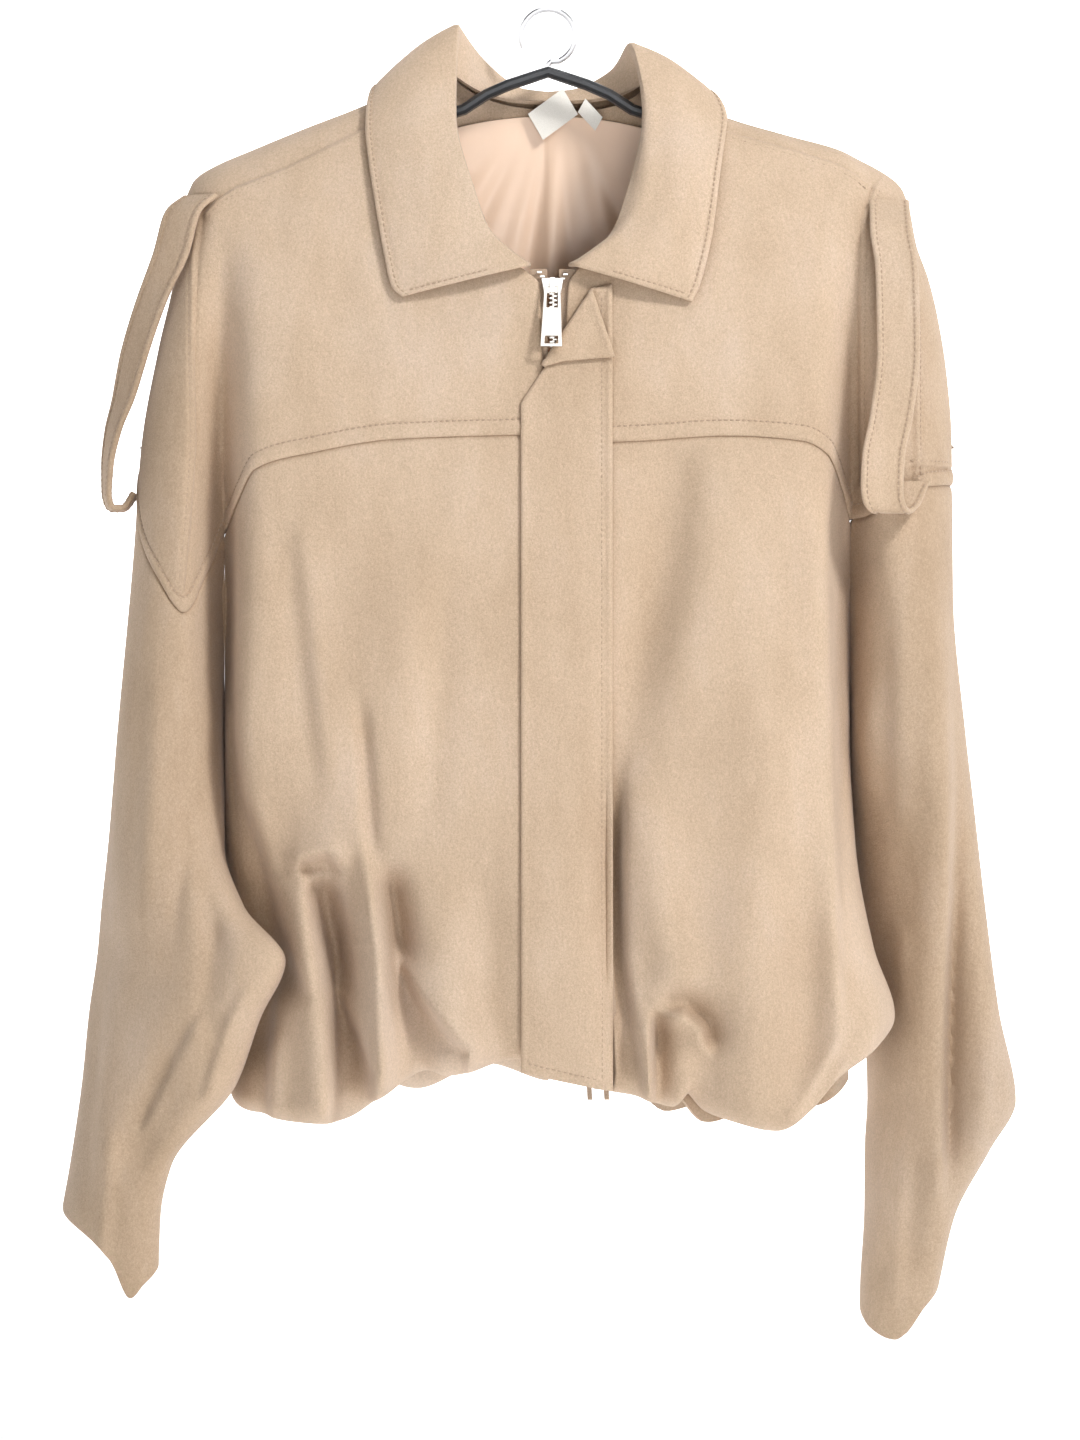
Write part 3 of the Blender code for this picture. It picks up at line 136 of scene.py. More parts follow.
# The sleeve loops: outer and inner edge (x and y), and how far each face stands off the line between
SLEEVE = {
    LEFT: table(
        "drop out_x in_x out_y in_y front back",
        (113, 218, 194, 0, 0, 30, 26),
        (140, 220, 194, 0, 0, 33, 29),
        (170, 226, 194, 0, 0, 36, 32),
        (200, 233, 194, 0, 0, 39, 35),
        (262, 244, 194, 0, 0, 43, 39),
        (320, 248, 194, 0, 0, 45, 42),
        (430, 258, 194, 0, 0, 46, 44),
        (500, 264, 193, 2, -16, 44, 42),
        (535, 268, 180, 4, -40, 38, 34),
        (566, 271, 154, 6, -66, 31, 25),
        (600, 276, 169, 8, -58, 32, 27),
        (640, 280, 184, 8, -46, 32, 30),
        (690, 287, 224, 6, -26, 26, 26),
        (720, 292, 231, 2, -18, 22, 22),
        (775, 300, 233, 0, -14, 18, 18)),
    RIGHT: table(
        "drop out_x in_x out_y in_y front back",
        (118, 217, 181, 0, 0, 30, 26),
        (140, 221, 181, 0, 0, 33, 29),
        (160, 228, 181, 0, 0, 35, 31),
        (180, 233, 181, 0, 0, 37, 33),
        (217, 239, 181, 0, 0, 40, 36),
        (254, 242, 181, 0, 0, 43, 39),
        (353, 243, 181, 0, 0, 45, 42),
        (430, 250, 181, 0, 0, 46, 44),
        (473, 255, 181.5, 0, 16, 44, 40),
        (533, 262, 184, 2, 34, 40, 36),
        (600, 271, 192, 4, 40, 34, 32),
        (653, 281, 194, 4, 38, 36, 32),
        (683, 265, 192, 2, 30, 34, 30),
        (722, 244, 191, 0, 20, 28, 26),
        (765, 234, 188, 0, 12, 22, 22),
        (800, 226, 187, 0, 8, 18, 18)),
}
SLEEVE_ROUND = 2.3      # exponent of the sleeve's oval section
SLEEVE_AXIS_X = 225.0

# The yoke seam runs across the body (at x) and then across the sleeve (at an angle round its loop)
YOKE_SEAM = {
    LEFT: table("x drop", (0, 256), (90, 259), (139, 267), (174, 277), (184, 293), (194, 312)),
    RIGHT: table("x drop", (0, 262), (56, 260), (105, 257), (150, 260), (166, 268), (175, 286),
                 (181, 305)),
}
SLEEVE_SEAM = {
    LEFT: table("angle drop", (0, 312), (22, 319), (45, 336), (74, 361), (112, 339), (150, 312),
                (180, 284)),
    RIGHT: table("angle drop", (0, 305), (35, 304), (74, 296), (120, 286), (180, 284)),
}
CUFF = {
    LEFT: table("angle drop", (0, 750), (40, 761), (58, 769), (85, 745), (120, 730), (180, 716)),
    RIGHT: table("angle drop", (0, 776), (37, 788), (90, 795), (108, 791), (135, 776), (180, 764)),
}
BACK_SEAM_RISE = 14.0   # the back's yoke seam is this much higher in the middle
BACK_SEAM_MIDDLE, BACK_SEAM_EASES = 259.0, 80.0     # drop where the halves meet, and over what x

# Points of the upper edge that the yoke's columns start from; `place` counts 0-1 over the body and
# 1-2 over the sleeve
UPPER_X = table("place x", (0, 62), (0.31, 93), (0.62, 138), (0.83, 172), (1, 202), (1.12, 212),
                (1.2, 218))
UPPER_DROP = table("place drop", (1.2, 113), (1.5, 176), (1.75, 218), (2, 262))
UPPER_TURN = 1.2

# Front neckline, from the shoulder to the zip, then the front edge down to the yoke seam
NECKLINE = {
    LEFT: table("share x drop", (0, 1.2, 256), (0.25, 3.5, 205), (0.42, 5, 168), (0.5, 12, 160),
                (0.6, 30, 149), (0.72, 46, 124), (0.86, 57, 88), (1, 62, 33)),
    RIGHT: table("share x drop", (0, 13, 262), (0.25, 10.5, 205), (0.42, 12, 168), (0.5, 17, 159),
                 (0.6, 33, 149), (0.72, 48, 124), (0.86, 58, 90), (1, 62, 41)),
}
BACK_NECK = table("x dip", (0, 19), (20, 18), (40, 14), (53, 7.5), (62, 0))
NECK_X = 62.0

# The zip leans from the neck to the hem, and the fronts stop short of it
ZIP = table("drop x", (150, 3), (164, 3), (215, 3.5), (262, 6), (641, 29), (680, 31.3))
ZIP_HALF_GAP = 7.0

# Lowest line of the bubble hem, and the bottom of the hem band inside it
HEM = {
    FRONT: table("x drop", (-192, 659), (-170, 662), (-150, 662), (-125, 646), (-98, 631), (-88, 634),
                 (-47, 624), (-20, 634), (12, 643), (30, 646), (55, 652), (66, 644), (81, 655),
                 (100, 660), (130, 665), (148, 655), (165, 637), (190, 621), (206, 608)),
    BACK: table("x drop", (-192, 659), (-165, 654), (-130, 640), (-96, 650), (-52, 634), (-8, 646),
                (40, 632), (84, 648), (122, 638), (160, 634), (190, 621), (206, 608)),
}
BAND = table("x drop", (-192, 640), (-120, 634), (-60, 618), (0, 630), (60, 640), (90, 662),
             (118, 655), (150, 648), (172, 652), (190, 645), (206, 632))

COLUMNS_CLOSE_UP = 1.45     # towards the side, where the cloth turns
ROWS_CLOSE_UP = 1.8         # towards the upper edge of the yokes
NECK_SHARE = 1.25           # the neckline draws the yoke's columns along over 1 / this of its width
FOLD_FADE = 4               # folds fade out in the last 1 / this of the body's roundness
SHOULDER_TURN = 45.0        # drop in which the cloth turns over the shoulder
HEM_START, HEM_REACH = 0.06, 200.0  # x of the hem's tables is read from this share to this reach
CREASE_FADE = 5             # the gap at the foot of the web fades over 1 / this of the way back
CREASE_GAP = 0.3            # extra gap where three pieces meet at the foot of the web
CREASE_SPLIT = 0.05         # body and sleeve stand this far off the line where they meet
STEP_U, STEP_V = 0.008, 0.0001      # steps that a surface's slope is taken over
CELL_REACH = 7.0            # half the width of the front's widest cells
SIDE_LINE = 0.5             # front and back meet within this of y = 0
LAST_COLUMN = 1.99999       # `place` of the yoke's column on the sleeve's outer edge
ROLL_RADIUS = 13.0          # of the bubble hem
LEG_LEAST = 5.0             # that the body's edge is turned up inside it
BAND_INSET, BAND_WIDTH, BAND_WALL = 27.4, 38.0, 2.5     # it hangs just inside the turned-up edge
BAND_GRID = 61, 13          # for each quarter of the hem

# Folds: each is a soft trough (minus) or ridge (plus). They are given by height, width and the x,
# drop points along them, from the faint end to the full one.
FOLDS = {
    FRONT: (
        (-12, 17, ((-158, 455), (-160, 510), (-166, 560), (-172, 600))),
        (7, 15, ((-145, 490), (-140, 560), (-138, 650))),
        (-14, 14, ((-133, 480), (-127, 530), (-122, 580), (-114, 650))),
        (8, 14, ((-112, 500), (-104, 560), (-94, 650))),
        (-11, 14, ((-96, 490), (-88, 560), (-74, 650))),
        (6, 16, ((-66, 520), (-56, 590), (-50, 650))),
        (-6, 17, ((-42, 480), (-36, 560), (-34, 650))),
        (-6, 18, ((76, 270), (71, 330), (61, 368), (53, 405), (45, 440))),
        (-11, 16, ((46, 420), (39, 480), (44, 540), (54, 600), (62, 660))),
        (8, 17, ((66, 430), (62, 490), (68, 550), (80, 600), (92, 660))),
        (-14, 14, ((78, 570), (86, 610), (92, 660))),
        (7, 20, ((115, 470), (118, 560), (124, 650))),
        (-8, 16, ((150, 500), (152, 580), (150, 650))),
        (5, 26, ((-80, 300), (-82, 380), (-84, 450))),
        (4, 30, ((120, 300), (122, 400), (118, 460))),
    ),
    BACK: (
        (-9, 17, ((-150, 480), (-146, 560), (-140, 650))),
        (-11, 16, ((-104, 490), (-98, 580), (-90, 650))),
        (7, 17, ((-70, 480), (-70, 580), (-70, 650))),
        (-9, 16, ((-32, 490), (-28, 580), (-30, 650))),
        (7, 17, ((6, 470), (10, 560), (10, 650))),
        (-10, 16, ((50, 480), (56, 570), (60, 650))),
        (7, 17, ((92, 490), (96, 580), (98, 650))),
        (-9, 16, ((136, 480), (142, 560), (146, 650))),
        (-6, 22, ((-60, 240), (-66, 320), (-76, 420))),
        (-6, 22, ((62, 240), (66, 320), (74, 420))),
        (5, 26, ((0, 250), (0, 330), (2, 420))),
    ),
}
SLEEVE_FOLDS = {
    (LEFT, FRONT): ((-7, 9, ((-196, 520), (-196, 560), (-200, 600))),
                    (-6, 12, ((-204, 600), (-222, 640), (-240, 680))),
                    (5, 14, ((-232, 420), (-236, 500), (-240, 560)))),
    (LEFT, BACK): ((-7, 12, ((-214, 500), (-226, 560), (-240, 610))),
                   (-6, 12, ((-232, 620), (-246, 660), (-256, 700)))),
    (RIGHT, FRONT): ((-7, 9, ((236, 470), (237, 530), (236, 600), (233, 680))),
                     (6, 12, ((214, 560), (210, 600), (208, 640))),
                     (-5, 12, ((222, 640), (216, 690), (212, 740)))),
    (RIGHT, BACK): ((-7, 12, ((228, 480), (232, 560), (244, 620))),
                    (-6, 12, ((236, 640), (224, 690), (214, 740)))),
}


def to_line(points, x, drop):
    """Distance of points from a line (plus on its right), and how far along it they lie, 0-1."""
    points = np.array(points, float)
    run = np.concatenate([[0], np.cumsum(np.linalg.norm(np.diff(points, axis=0), axis=1))])
    shape = np.broadcast(x, drop).shape
    nearest, along, side = np.full(shape, np.inf), np.zeros(shape), np.ones(shape)
    for start, end, begun in zip(points[:-1], points[1:], run):
        leg = end - start
        length = np.linalg.norm(leg)
        share = np.clip(((x - start[0]) * leg[0] + (drop - start[1]) * leg[1]) / length ** 2, 0, 1)
        away = np.hypot(x - start[0] - share * leg[0], drop - start[1] - share * leg[1])
        closer = away < nearest
        along = np.where(closer, begun + share * length, along)
        side = np.where(closer, np.sign((x - start[0]) * leg[1] - (drop - start[1]) * leg[0]), side)
        nearest = np.where(closer, away, nearest)
    return nearest * side, along / run[-1]


def soft_step(share):
    share = np.clip(share, 0, 1)
    return share * share * (3 - 2 * share)


# Creases finer than the solids show: height, width and reach, shares of the length over which they
# grow and fade, then x, drop points. One with a reach is a step, high on its right if height is
# plus; one without is a ridge (plus) or trough (minus).
CREASES = {
    FRONT: (
        (9.0, 3.6, 18, 0.4, 0.08, ((-188, 250), (-188, 330), (-187, 400), (-182, 465), (-170, 500),
                                   (-161, 535), (-155, 559), (-146, 576), (-136, 596))),
        (8.0, 2.6, 12, 0.25, 0, ((-156, 572), (-163, 590), (-166, 660))),
        (-11.0, 2.8, 16, 0.3, 0, ((-146, 510), (-139, 535), (-132, 560), (-127, 590), (-126, 660))),
        (8.0, 2.8, 13, 0.3, 0, ((-131, 574), (-119, 596), (-107, 620), (-97, 650))),
        (-13.0, 9, 0, 0.15, 0.5, ((-134, 514), (-130, 545), (-120, 600))),
        (8.0, 3.0, 11, 0.25, 0.3, ((-150, 516), (-143, 508), (-131, 505), (-119, 515))),
        (-12.0, 8, 0, 0.3, 0.4, ((-94, 505), (-90, 535), (-84, 582))),
        (8.0, 2.8, 14, 0.3, 0.05, ((-94, 556), (-76, 589), (-36, 632))),
        (8.5, 6, 0, 0.3, 0, ((-112, 480), (-103, 530), (-98, 562), (-96, 660))),
        (-5.0, 5, 0, 0.3, 0.3, ((-112, 400), (-106, 460), (-102, 520))),
        (9.0, 3.6, 17, 0.35, 0, ((47, 430), (43, 509), (44, 563), (50, 605), (55, 629), (62, 660))),
        (-13.0, 2.6, 13, 0.25, 0, ((61, 590), (61, 625), (63, 660))),
        (10.0, 3.4, 13, 0.3, 0.25, ((96, 625), (91, 603), (79, 594), (62, 597))),
        (5.0, 15, 0, 0.4, 0, ((172, 460), (174, 540), (172, 611), (156, 660))),
        (-6.5, 2.8, 16, 0.2, 0.1, ((166, 290), (169, 400), (171, 500), (172, 615))),
        (-8.0, 3.0, 14, 0.3, 0, ((206, 600), (187, 620), (170, 634), (151, 655))),
        (-5.0, 3.4, 12, 0.3, 0, ((178, 600), (160, 632), (144, 660))),
        (5.5, 14, 38, 0.2, 0.3, ((92, 245), (80, 320), (66, 385), (48, 450))),
        (3.5, 6, 14, 0.3, 0.3, ((-152, 290), (-142, 380), (-130, 490))),
        (-4.0, 12, 0, 0.3, 0.3, ((-58, 320), (-66, 420), (-74, 510))),
        (3.0, 18, 0, 0.3, 0.3, ((126, 400), (130, 480), (130, 560))),
    ),
    BACK: (
        (7.0, 4, 14, 0.4, 0, ((-126, 500), (-122, 580), (-116, 660))),
        (-7.0, 4, 14, 0.4, 0, ((-54, 510), (-50, 590), (-46, 660))),
        (7.0, 4, 14, 0.4, 0, ((22, 500), (28, 580), (36, 660))),
        (-7.0, 4, 14, 0.4, 0, ((112, 510), (116, 590), (122, 660))),
        (3.0, 14, 32, 0.3, 0.3, ((-86, 262), (-80, 320), (-70, 420))),
        (-3.0, 14, 32, 0.3, 0.3, ((90, 262), (84, 320), (74, 420))),
    ),
}
SLEEVE_CREASES = {
    (LEFT, FRONT): (
        (4.0, 2.2, 12, 0.3, 0.2, ((-198, 585), (-218, 622), (-244, 674))),
        (7.0, 3, 16, 0.3, 0.15, ((-256, 380), (-262, 520), (-268, 640), (-272, 720))),
        (3.5, 6, 16, 0.3, 0.3, ((-236, 370), (-240, 470), (-246, 560))),
        (-4.0, 7, 0, 0.3, 0.2, ((-206, 450), (-204, 510), (-192, 570))),
        (4.5, 3, 9, 0.3, 0.2, ((-174, 572), (-190, 605), (-206, 655))),
        (3.5, 6, 0, 0.3, 0.1, ((-258, 650), (-262, 700), (-268, 760))),
        (-3.0, 5, 0, 0.3, 0.3, ((-214, 420), (-214, 500), (-222, 570))),
    ),
    (LEFT, BACK): (
        (5.0, 4, 14, 0.3, 0.2, ((-210, 560), (-226, 610), (-248, 670))),
        (-4.0, 5, 14, 0.3, 0.3, ((-232, 380), (-236, 470), (-240, 540))),
    ),
    (RIGHT, FRONT): (
        (-12.0, 2.8, 22, 0.25, 0.15, ((239, 320), (240, 400), (240, 530), (238, 620), (236, 730))),
        (4.5, 7, 0, 0.3, 0.3, ((212, 540), (209, 572), (204, 612))),
        (3.5, 5, 14, 0.3, 0.2, ((204, 330), (203, 430), (202, 520))),
        (-4.0, 5, 13, 0.3, 0.2, ((262, 560), (268, 620), (262, 690))),
        (3.0, 6, 0, 0.3, 0.2, ((214, 660), (210, 720), (206, 780))),
    ),
    (RIGHT, BACK): (
        (5.0, 4, 15, 0.3, 0.1, ((228, 440), (234, 540), (240, 640))),
        (-4.0, 5, 14, 0.3, 0.2, ((206, 360), (208, 450), (214, 540))),
    ),
}


FOLD_RISE = 0.45        # share of a fold's length in which it grows to its full height


def with_creases(folds, creases):
    return {key: [(size, width, 0, FOLD_RISE, 0, line) for size, width, line in folds[key]]
            + list(creases[key]) for key in folds}


BODY_RELIEF = with_creases(FOLDS, CREASES)
SLEEVE_RELIEF = with_creases(SLEEVE_FOLDS, SLEEVE_CREASES)


def fold_height(folds, x, drop):
    """Height of the folds and creases at points of a face."""
    height = np.zeros(np.broadcast(x, drop).shape)
    for size, width, reach, grow, fade, points in folds:
        away, along = to_line(points, x, drop)
        if reach:
            profile = np.tanh(away / width) * np.exp(-(away / reach) ** 2)
        else:
            profile = np.exp(-(away / width) ** 2)
        fading = soft_step((1 - along) / fade) if fade else 1
        height += size * profile * soft_step(along / grow) * fading
    return height


# Depth of the trough between body and sleeve, above the armpit
VALLEY = table("drop left_deep right_deep", (125, 0, 0), (170, 12, 8), (230, 22, 17), (330, 27, 22),
               (390, 14, 12), (424, 0, 0))
VALLEY_WIDTH = 13.0


def valley(side, x, drop):
    web = by_side(side, WEB_X[LEFT], WEB_X[RIGHT])
    return sided(VALLEY, "deep", side, drop) * np.exp(-((np.abs(x) - web) / VALLEY_WIDTH) ** 2)


def shoulder_share(side, x, drop):
    """How far the cloth has come out from the shoulder line, from 0 on the line to 1 well below it."""
    x = np.abs(x)
    line = by_side(side, read(SHOULDER[LEFT], "drop", x, "x"), read(SHOULDER[RIGHT], "drop", x, "x"))
    return np.sqrt(1 - np.exp(-np.maximum(drop - line, 0) / SHOULDER_TURN))


def body_point(side, across, drop, face, inset=0.0):
    """A point of the body loop, `across` from 0 in the middle to 1 at the side."""
    depth = read(BODY_LOOP, FACES[face], drop) - inset
    web = depth * read(WEB, "share", drop)
    across = np.clip(across, 0, 1)
    x = side * across * (sided(BODY_LOOP, "x", side, drop) - inset)
    round_off = 1 - across ** read(BODY_LOOP, "corner", drop)
    out = np.sqrt(web ** 2 + (depth ** 2 - web ** 2) * round_off)
    folds = fold_height(BODY_RELIEF[face], x, drop)
    out = out + folds * np.clip(FOLD_FADE * round_off, 0, 1) - valley(side, x, drop)
    y = sided(BODY_LOOP, "y", side, drop) * across ** 2 - face * out * shoulder_share(side, x, drop)
    return np.stack([x, y, -drop], axis=-1)


def sleeve_point(side, angle, drop, face, inset=0.0):
    """A point of a sleeve loop, `angle` from 0 at its inner edge to 180 at its outer edge."""
    rows = SLEEVE[side]
    inner, outer = read(rows, "in_x", drop) + inset, read(rows, "out_x", drop)
    share = (1 - np.cos(np.radians(angle))) / 2
    depth = read(rows, FACES[face], drop)
    web = read(BODY_LOOP, FACES[face], drop) * read(WEB, "share", drop)
    oval = np.clip(1 - np.abs(2 * share - 1) ** SLEEVE_ROUND, 0, 1)
    out = np.sqrt(web ** 2 * (1 - share ** SLEEVE_ROUND) + np.maximum(depth ** 2 - web ** 2, 0) * oval)
    x = side * (inner + share * (outer - inner))
    out = out + fold_height(SLEEVE_RELIEF[side, face], x, drop) * oval - valley(side, x, drop)
    y = (read(rows, "in_y", drop) * (1 - share) + read(rows, "out_y", drop) * share
         - face * out * shoulder_share(side, x, drop))
    return np.stack([x, y, -drop], axis=-1)


def face_point(side, x, drop, face):
    """A point of the front or back above the armpits, at a distance x from the middle."""
    web = WEB_X[side]
    share = np.clip((x - web) / (read(SLEEVE[side], "out_x", drop) - web), 0, 1)
    angle = np.degrees(np.arccos(1 - 2 * share))
    point = np.where((x < web)[..., None], body_point(side, x / web, drop, face),
                     sleeve_point(side, angle, drop, face))
    point[..., 0] = side * x
    return point


def surface_depth(x, drop, face=FRONT):
    """How far the front or back of the body stands out from y = 0, for signed x."""
    side = np.where(x < 0, LEFT, RIGHT)
    across = np.abs(x) / sided(BODY_LOOP, "x", side, drop)
    return -face * body_point(side, across, drop, face)[..., 1]


def spanned_depth(x, drop):
    """The front's depth where its cells span a hollow, so that what lies on it stays outside."""
    beside = (surface_depth(x - CELL_REACH, drop) + surface_depth(x + CELL_REACH, drop)) / 2
    return np.maximum(surface_depth(x, drop), beside)


def unit(vectors):
    return vectors / np.maximum(np.linalg.norm(vectors, axis=-1, keepdims=True), 1e-9)


def surface_normals(surface, u, v, axis_x):
    """Unit normals of surface(u, v) on the side of an upright axis inside the loop.

    On the side line, where front and back meet, they lie in the plane between the two.
    """
    low_u, high_u = np.clip(u - STEP_U, 0, 1), np.clip(u + STEP_U, 0, 1)
    low_v, high_v = np.clip(v - STEP_V, 0, 1), np.clip(v + STEP_V, 0, 1)
    along_u = surface(high_u, v) - surface(low_u, v)
    along_v = surface(u, high_v) - surface(u, low_v)
    normals = unit(np.cross(along_u, along_v))
    points = surface(u, v)
    to_axis = np.array([axis_x, 0.0]) - points[..., :2]
    normals = normals * np.sign((normals[..., :2] * to_axis).sum())
    normals[..., 1] *= np.abs(points[..., 1]) > SIDE_LINE
    return unit(normals)


def zip_x(drop):
    return read(ZIP, "x", drop)


def from_edge(side, across, drop, face):
    """The way from the zip, or from the back's middle, to the web, as a share of the web's x."""
    start = (side * zip_x(drop) + ZIP_HALF_GAP) / WEB_X[side] if face == FRONT else 0.0
    return start + (1 - start) * across


def across_columns(place):
    return 1 - (1 - place) ** COLUMNS_CLOSE_UP


def foot_gap(place):
    """Extra drop beside the web (place 1), at its foot."""
    return CREASE_GAP * np.clip(CREASE_FADE * (place - 1) + 1, 0, 1) ** 2


def yoke_seam_drop(side, x, face):
    drop = read(YOKE_SEAM[side], "drop", x, "x")
    if face == BACK:
        drop = drop - BACK_SEAM_RISE * (1 - (x / WEB_X[side]) ** 2)
        middle = np.clip(1 - x / BACK_SEAM_EASES, 0, 1) ** 2
        drop = drop + middle * (BACK_SEAM_MIDDLE - YOKE_SEAM[side]["drop"][0])
    return drop


def upper_edge(side, place):
    """x and drop on the shoulder line and then down the sleeve's outer edge."""
    stretch = (CORNER_X[side] - NECK_X) / (CORNER_X[LEFT] - NECK_X)
    turn_drop = SHOULDER[side]["drop"][-1]
    x = NECK_X + stretch * (read(UPPER_X, "x", np.minimum(place, UPPER_TURN), "place") - NECK_X)
    drop = read(SHOULDER[side], "drop", x, "x")
    down = np.maximum(read(UPPER_DROP, "drop", np.maximum(place, UPPER_TURN), "place"), turn_drop)
    past = place > UPPER_TURN
    return np.where(past, read(SLEEVE[side], "out_x", down), x), np.where(past, down, drop)


def yoke_surface(side, face):
    """The yoke and the upper sleeve in one cut; u runs from the middle to the sleeve's outer edge."""
    def surface(u, v):
        cell = u * (BODY_CELLS + SLEEVE_CELLS)
        place = np.where(cell <= BODY_CELLS, cell / BODY_CELLS,
                         1 + (cell - BODY_CELLS) / SLEEVE_CELLS)
        on_body = np.clip(place, 0, 1)
        across = across_columns(on_body)
        web = WEB_X[side]
        low_x = web * from_edge(side, across, YOKE_SEAM[side]["drop"][0], face)
        low_drop = yoke_seam_drop(side, low_x, face)
        angle = 180 * np.clip(place - 1, 0, 1)
        seam_drop = read(SLEEVE_SEAM[side], "drop", angle, "angle")
        share = (1 - np.cos(np.radians(angle))) / 2
        outer = read(SLEEVE[side], "out_x", seam_drop)
        past = place > 1
        low_x = np.where(past, web + share * (outer - web), low_x)
        low_drop = np.where(past, seam_drop, low_drop)
        if face == FRONT:
            high_x, high_drop = upper_edge(side, np.where(past, place, across))
        else:
            neck = NECK_X / WEB_X[LEFT]
            on_shoulder = np.where(past, place, np.maximum((across - neck) / (1 - neck), 0))
            high_x, high_drop = upper_edge(side, on_shoulder)
            in_neck = ~past & (across < neck)
            inward = np.clip(across / neck, 0, 1)
            neck_points = SHOULDER[LEFT]["drop"][1], SHOULDER[RIGHT]["drop"][1]
            level = (1 - inward) * sum(neck_points) / 2 + inward * SHOULDER[side]["drop"][1]
            neck_drop = level + read(BACK_NECK, "dip", NECK_X * inward, "x")
            high_x = np.where(in_neck, NECK_X * inward, high_x)
            high_drop = np.where(in_neck, neck_drop, high_drop)
        rise = 1 - (1 - v) ** ROWS_CLOSE_UP
        x = low_x + (high_x - low_x) * rise
        drop = low_drop + (high_drop - low_drop) * rise
        if face == FRONT:
            rows = NECKLINE[side]
            straight_x = rows["x"][0] + (NECK_X - rows["x"][0]) * rise
            straight_drop = rows["drop"][0] + (SHOULDER[side]["drop"][1] - rows["drop"][0]) * rise
            pull = np.clip(1 - on_body * NECK_SHARE, 0, 1) ** 2
            x = x + pull * (read(rows, "x", v, "share") - straight_x)
            drop = drop + pull * (read(rows, "drop", v, "share") - straight_drop)
        # Front and back meet in the last column, on the sleeve's outer edge
        x = np.where(place > LAST_COLUMN, read(SLEEVE[side], "out_x", drop), x)
        return face_point(side, x, drop, face)

    return surface


def lower_surface(side, face):
    """Body below the yoke: u from the zip or the middle to the side, v from the yoke round the hem."""
    def surface(u, v):
        across = across_columns(u)
        row = v * (LOWER_ROWS + ROLL_ROWS + LEG_ROWS)
        fall = np.clip(row / LOWER_ROWS, 0, 1)
        turn = np.pi * np.clip((row - LOWER_ROWS) / ROLL_ROWS, 0, 1)
        leg = np.clip((row - LOWER_ROWS - ROLL_ROWS) / LEG_ROWS, 0, 1)
        top_x = WEB_X[side] * from_edge(side, across, YOKE_SEAM[side]["drop"][0], face)
        top = yoke_seam_drop(side, top_x, face) + foot_gap(u)
        bottom = roll_drop(side, across, face)
        drop = top + (bottom - top) * fall
        inset = CREASE_SPLIT * np.clip(row, 0, 1) + ROLL_RADIUS * (1 - np.cos(turn))
        point = signed_body_point(side, from_edge(side, across, drop, face), drop, face, inset)
        turned_up = bottom - leg_top(side, across, face)
        point[..., 2] += leg * turned_up - ROLL_RADIUS * np.sin(turn)
        return point

    return surface


def hem_drop(rows, side, across):
    return read(rows, "drop", side * (HEM_START + (1 - HEM_START) * across) * HEM_REACH, "x")


def roll_drop(side, across, face):
    """Drop of the middle of the roll at the hem."""
    return hem_drop(HEM[face], side, across) - ROLL_RADIUS


def leg_top(side, across, face):
    """Drop that the body's edge is turned up to, where the band is sewn to it."""
    band = hem_drop(BAND, side, across) - BAND_WIDTH
    return np.minimum(roll_drop(side, across, face) - LEG_LEAST, band)


def signed_body_point(side, across, drop, face, inset):
    """A point of the body loop, where `across` may lie a little past the middle."""
    own, other = ("left_x", "right_x")[::side * LEFT]
    past = across < 0
    ratio = np.where(past, -read(BODY_LOOP, own, drop) / read(BODY_LOOP, other, drop), 1)
    return body_point(np.where(past, -side, side), across * ratio, drop, face, inset)


def band_surface(side, face, inset):
    """The band that hangs from the turned-up edge, open at the zip."""

    def surface(u, v):
        across = across_columns(u)
        top, drop = leg_top(side, across, face), roll_drop(side, across, face)
        point = signed_body_point(side, from_edge(side, across, drop, face), drop, face, inset)
        point[..., 2] = -(top + (hem_drop(BAND, side, across) - top) * v)
        return point

    return surface


def sleeve_surface(side):
    """Sleeve below the yoke: u from its front inner edge round the outer edge to the back one."""
    def surface(u, v):
        angle = np.where(u <= 0.5, 360 * u, 360 * (1 - u))
        top = read(SLEEVE_SEAM[side], "drop", angle, "angle") + foot_gap(1 - angle / 180)
        drop = top + (read(CUFF[side], "drop", angle, "angle") - top) * v
        split = CREASE_SPLIT * np.clip(v * SLEEVE_ROWS, 0, 1)
        front, back = (sleeve_point(side, angle, drop, face, split) for face in (FRONT, BACK))
        return np.where((u <= 0.5)[..., None], front, back)

    return surface


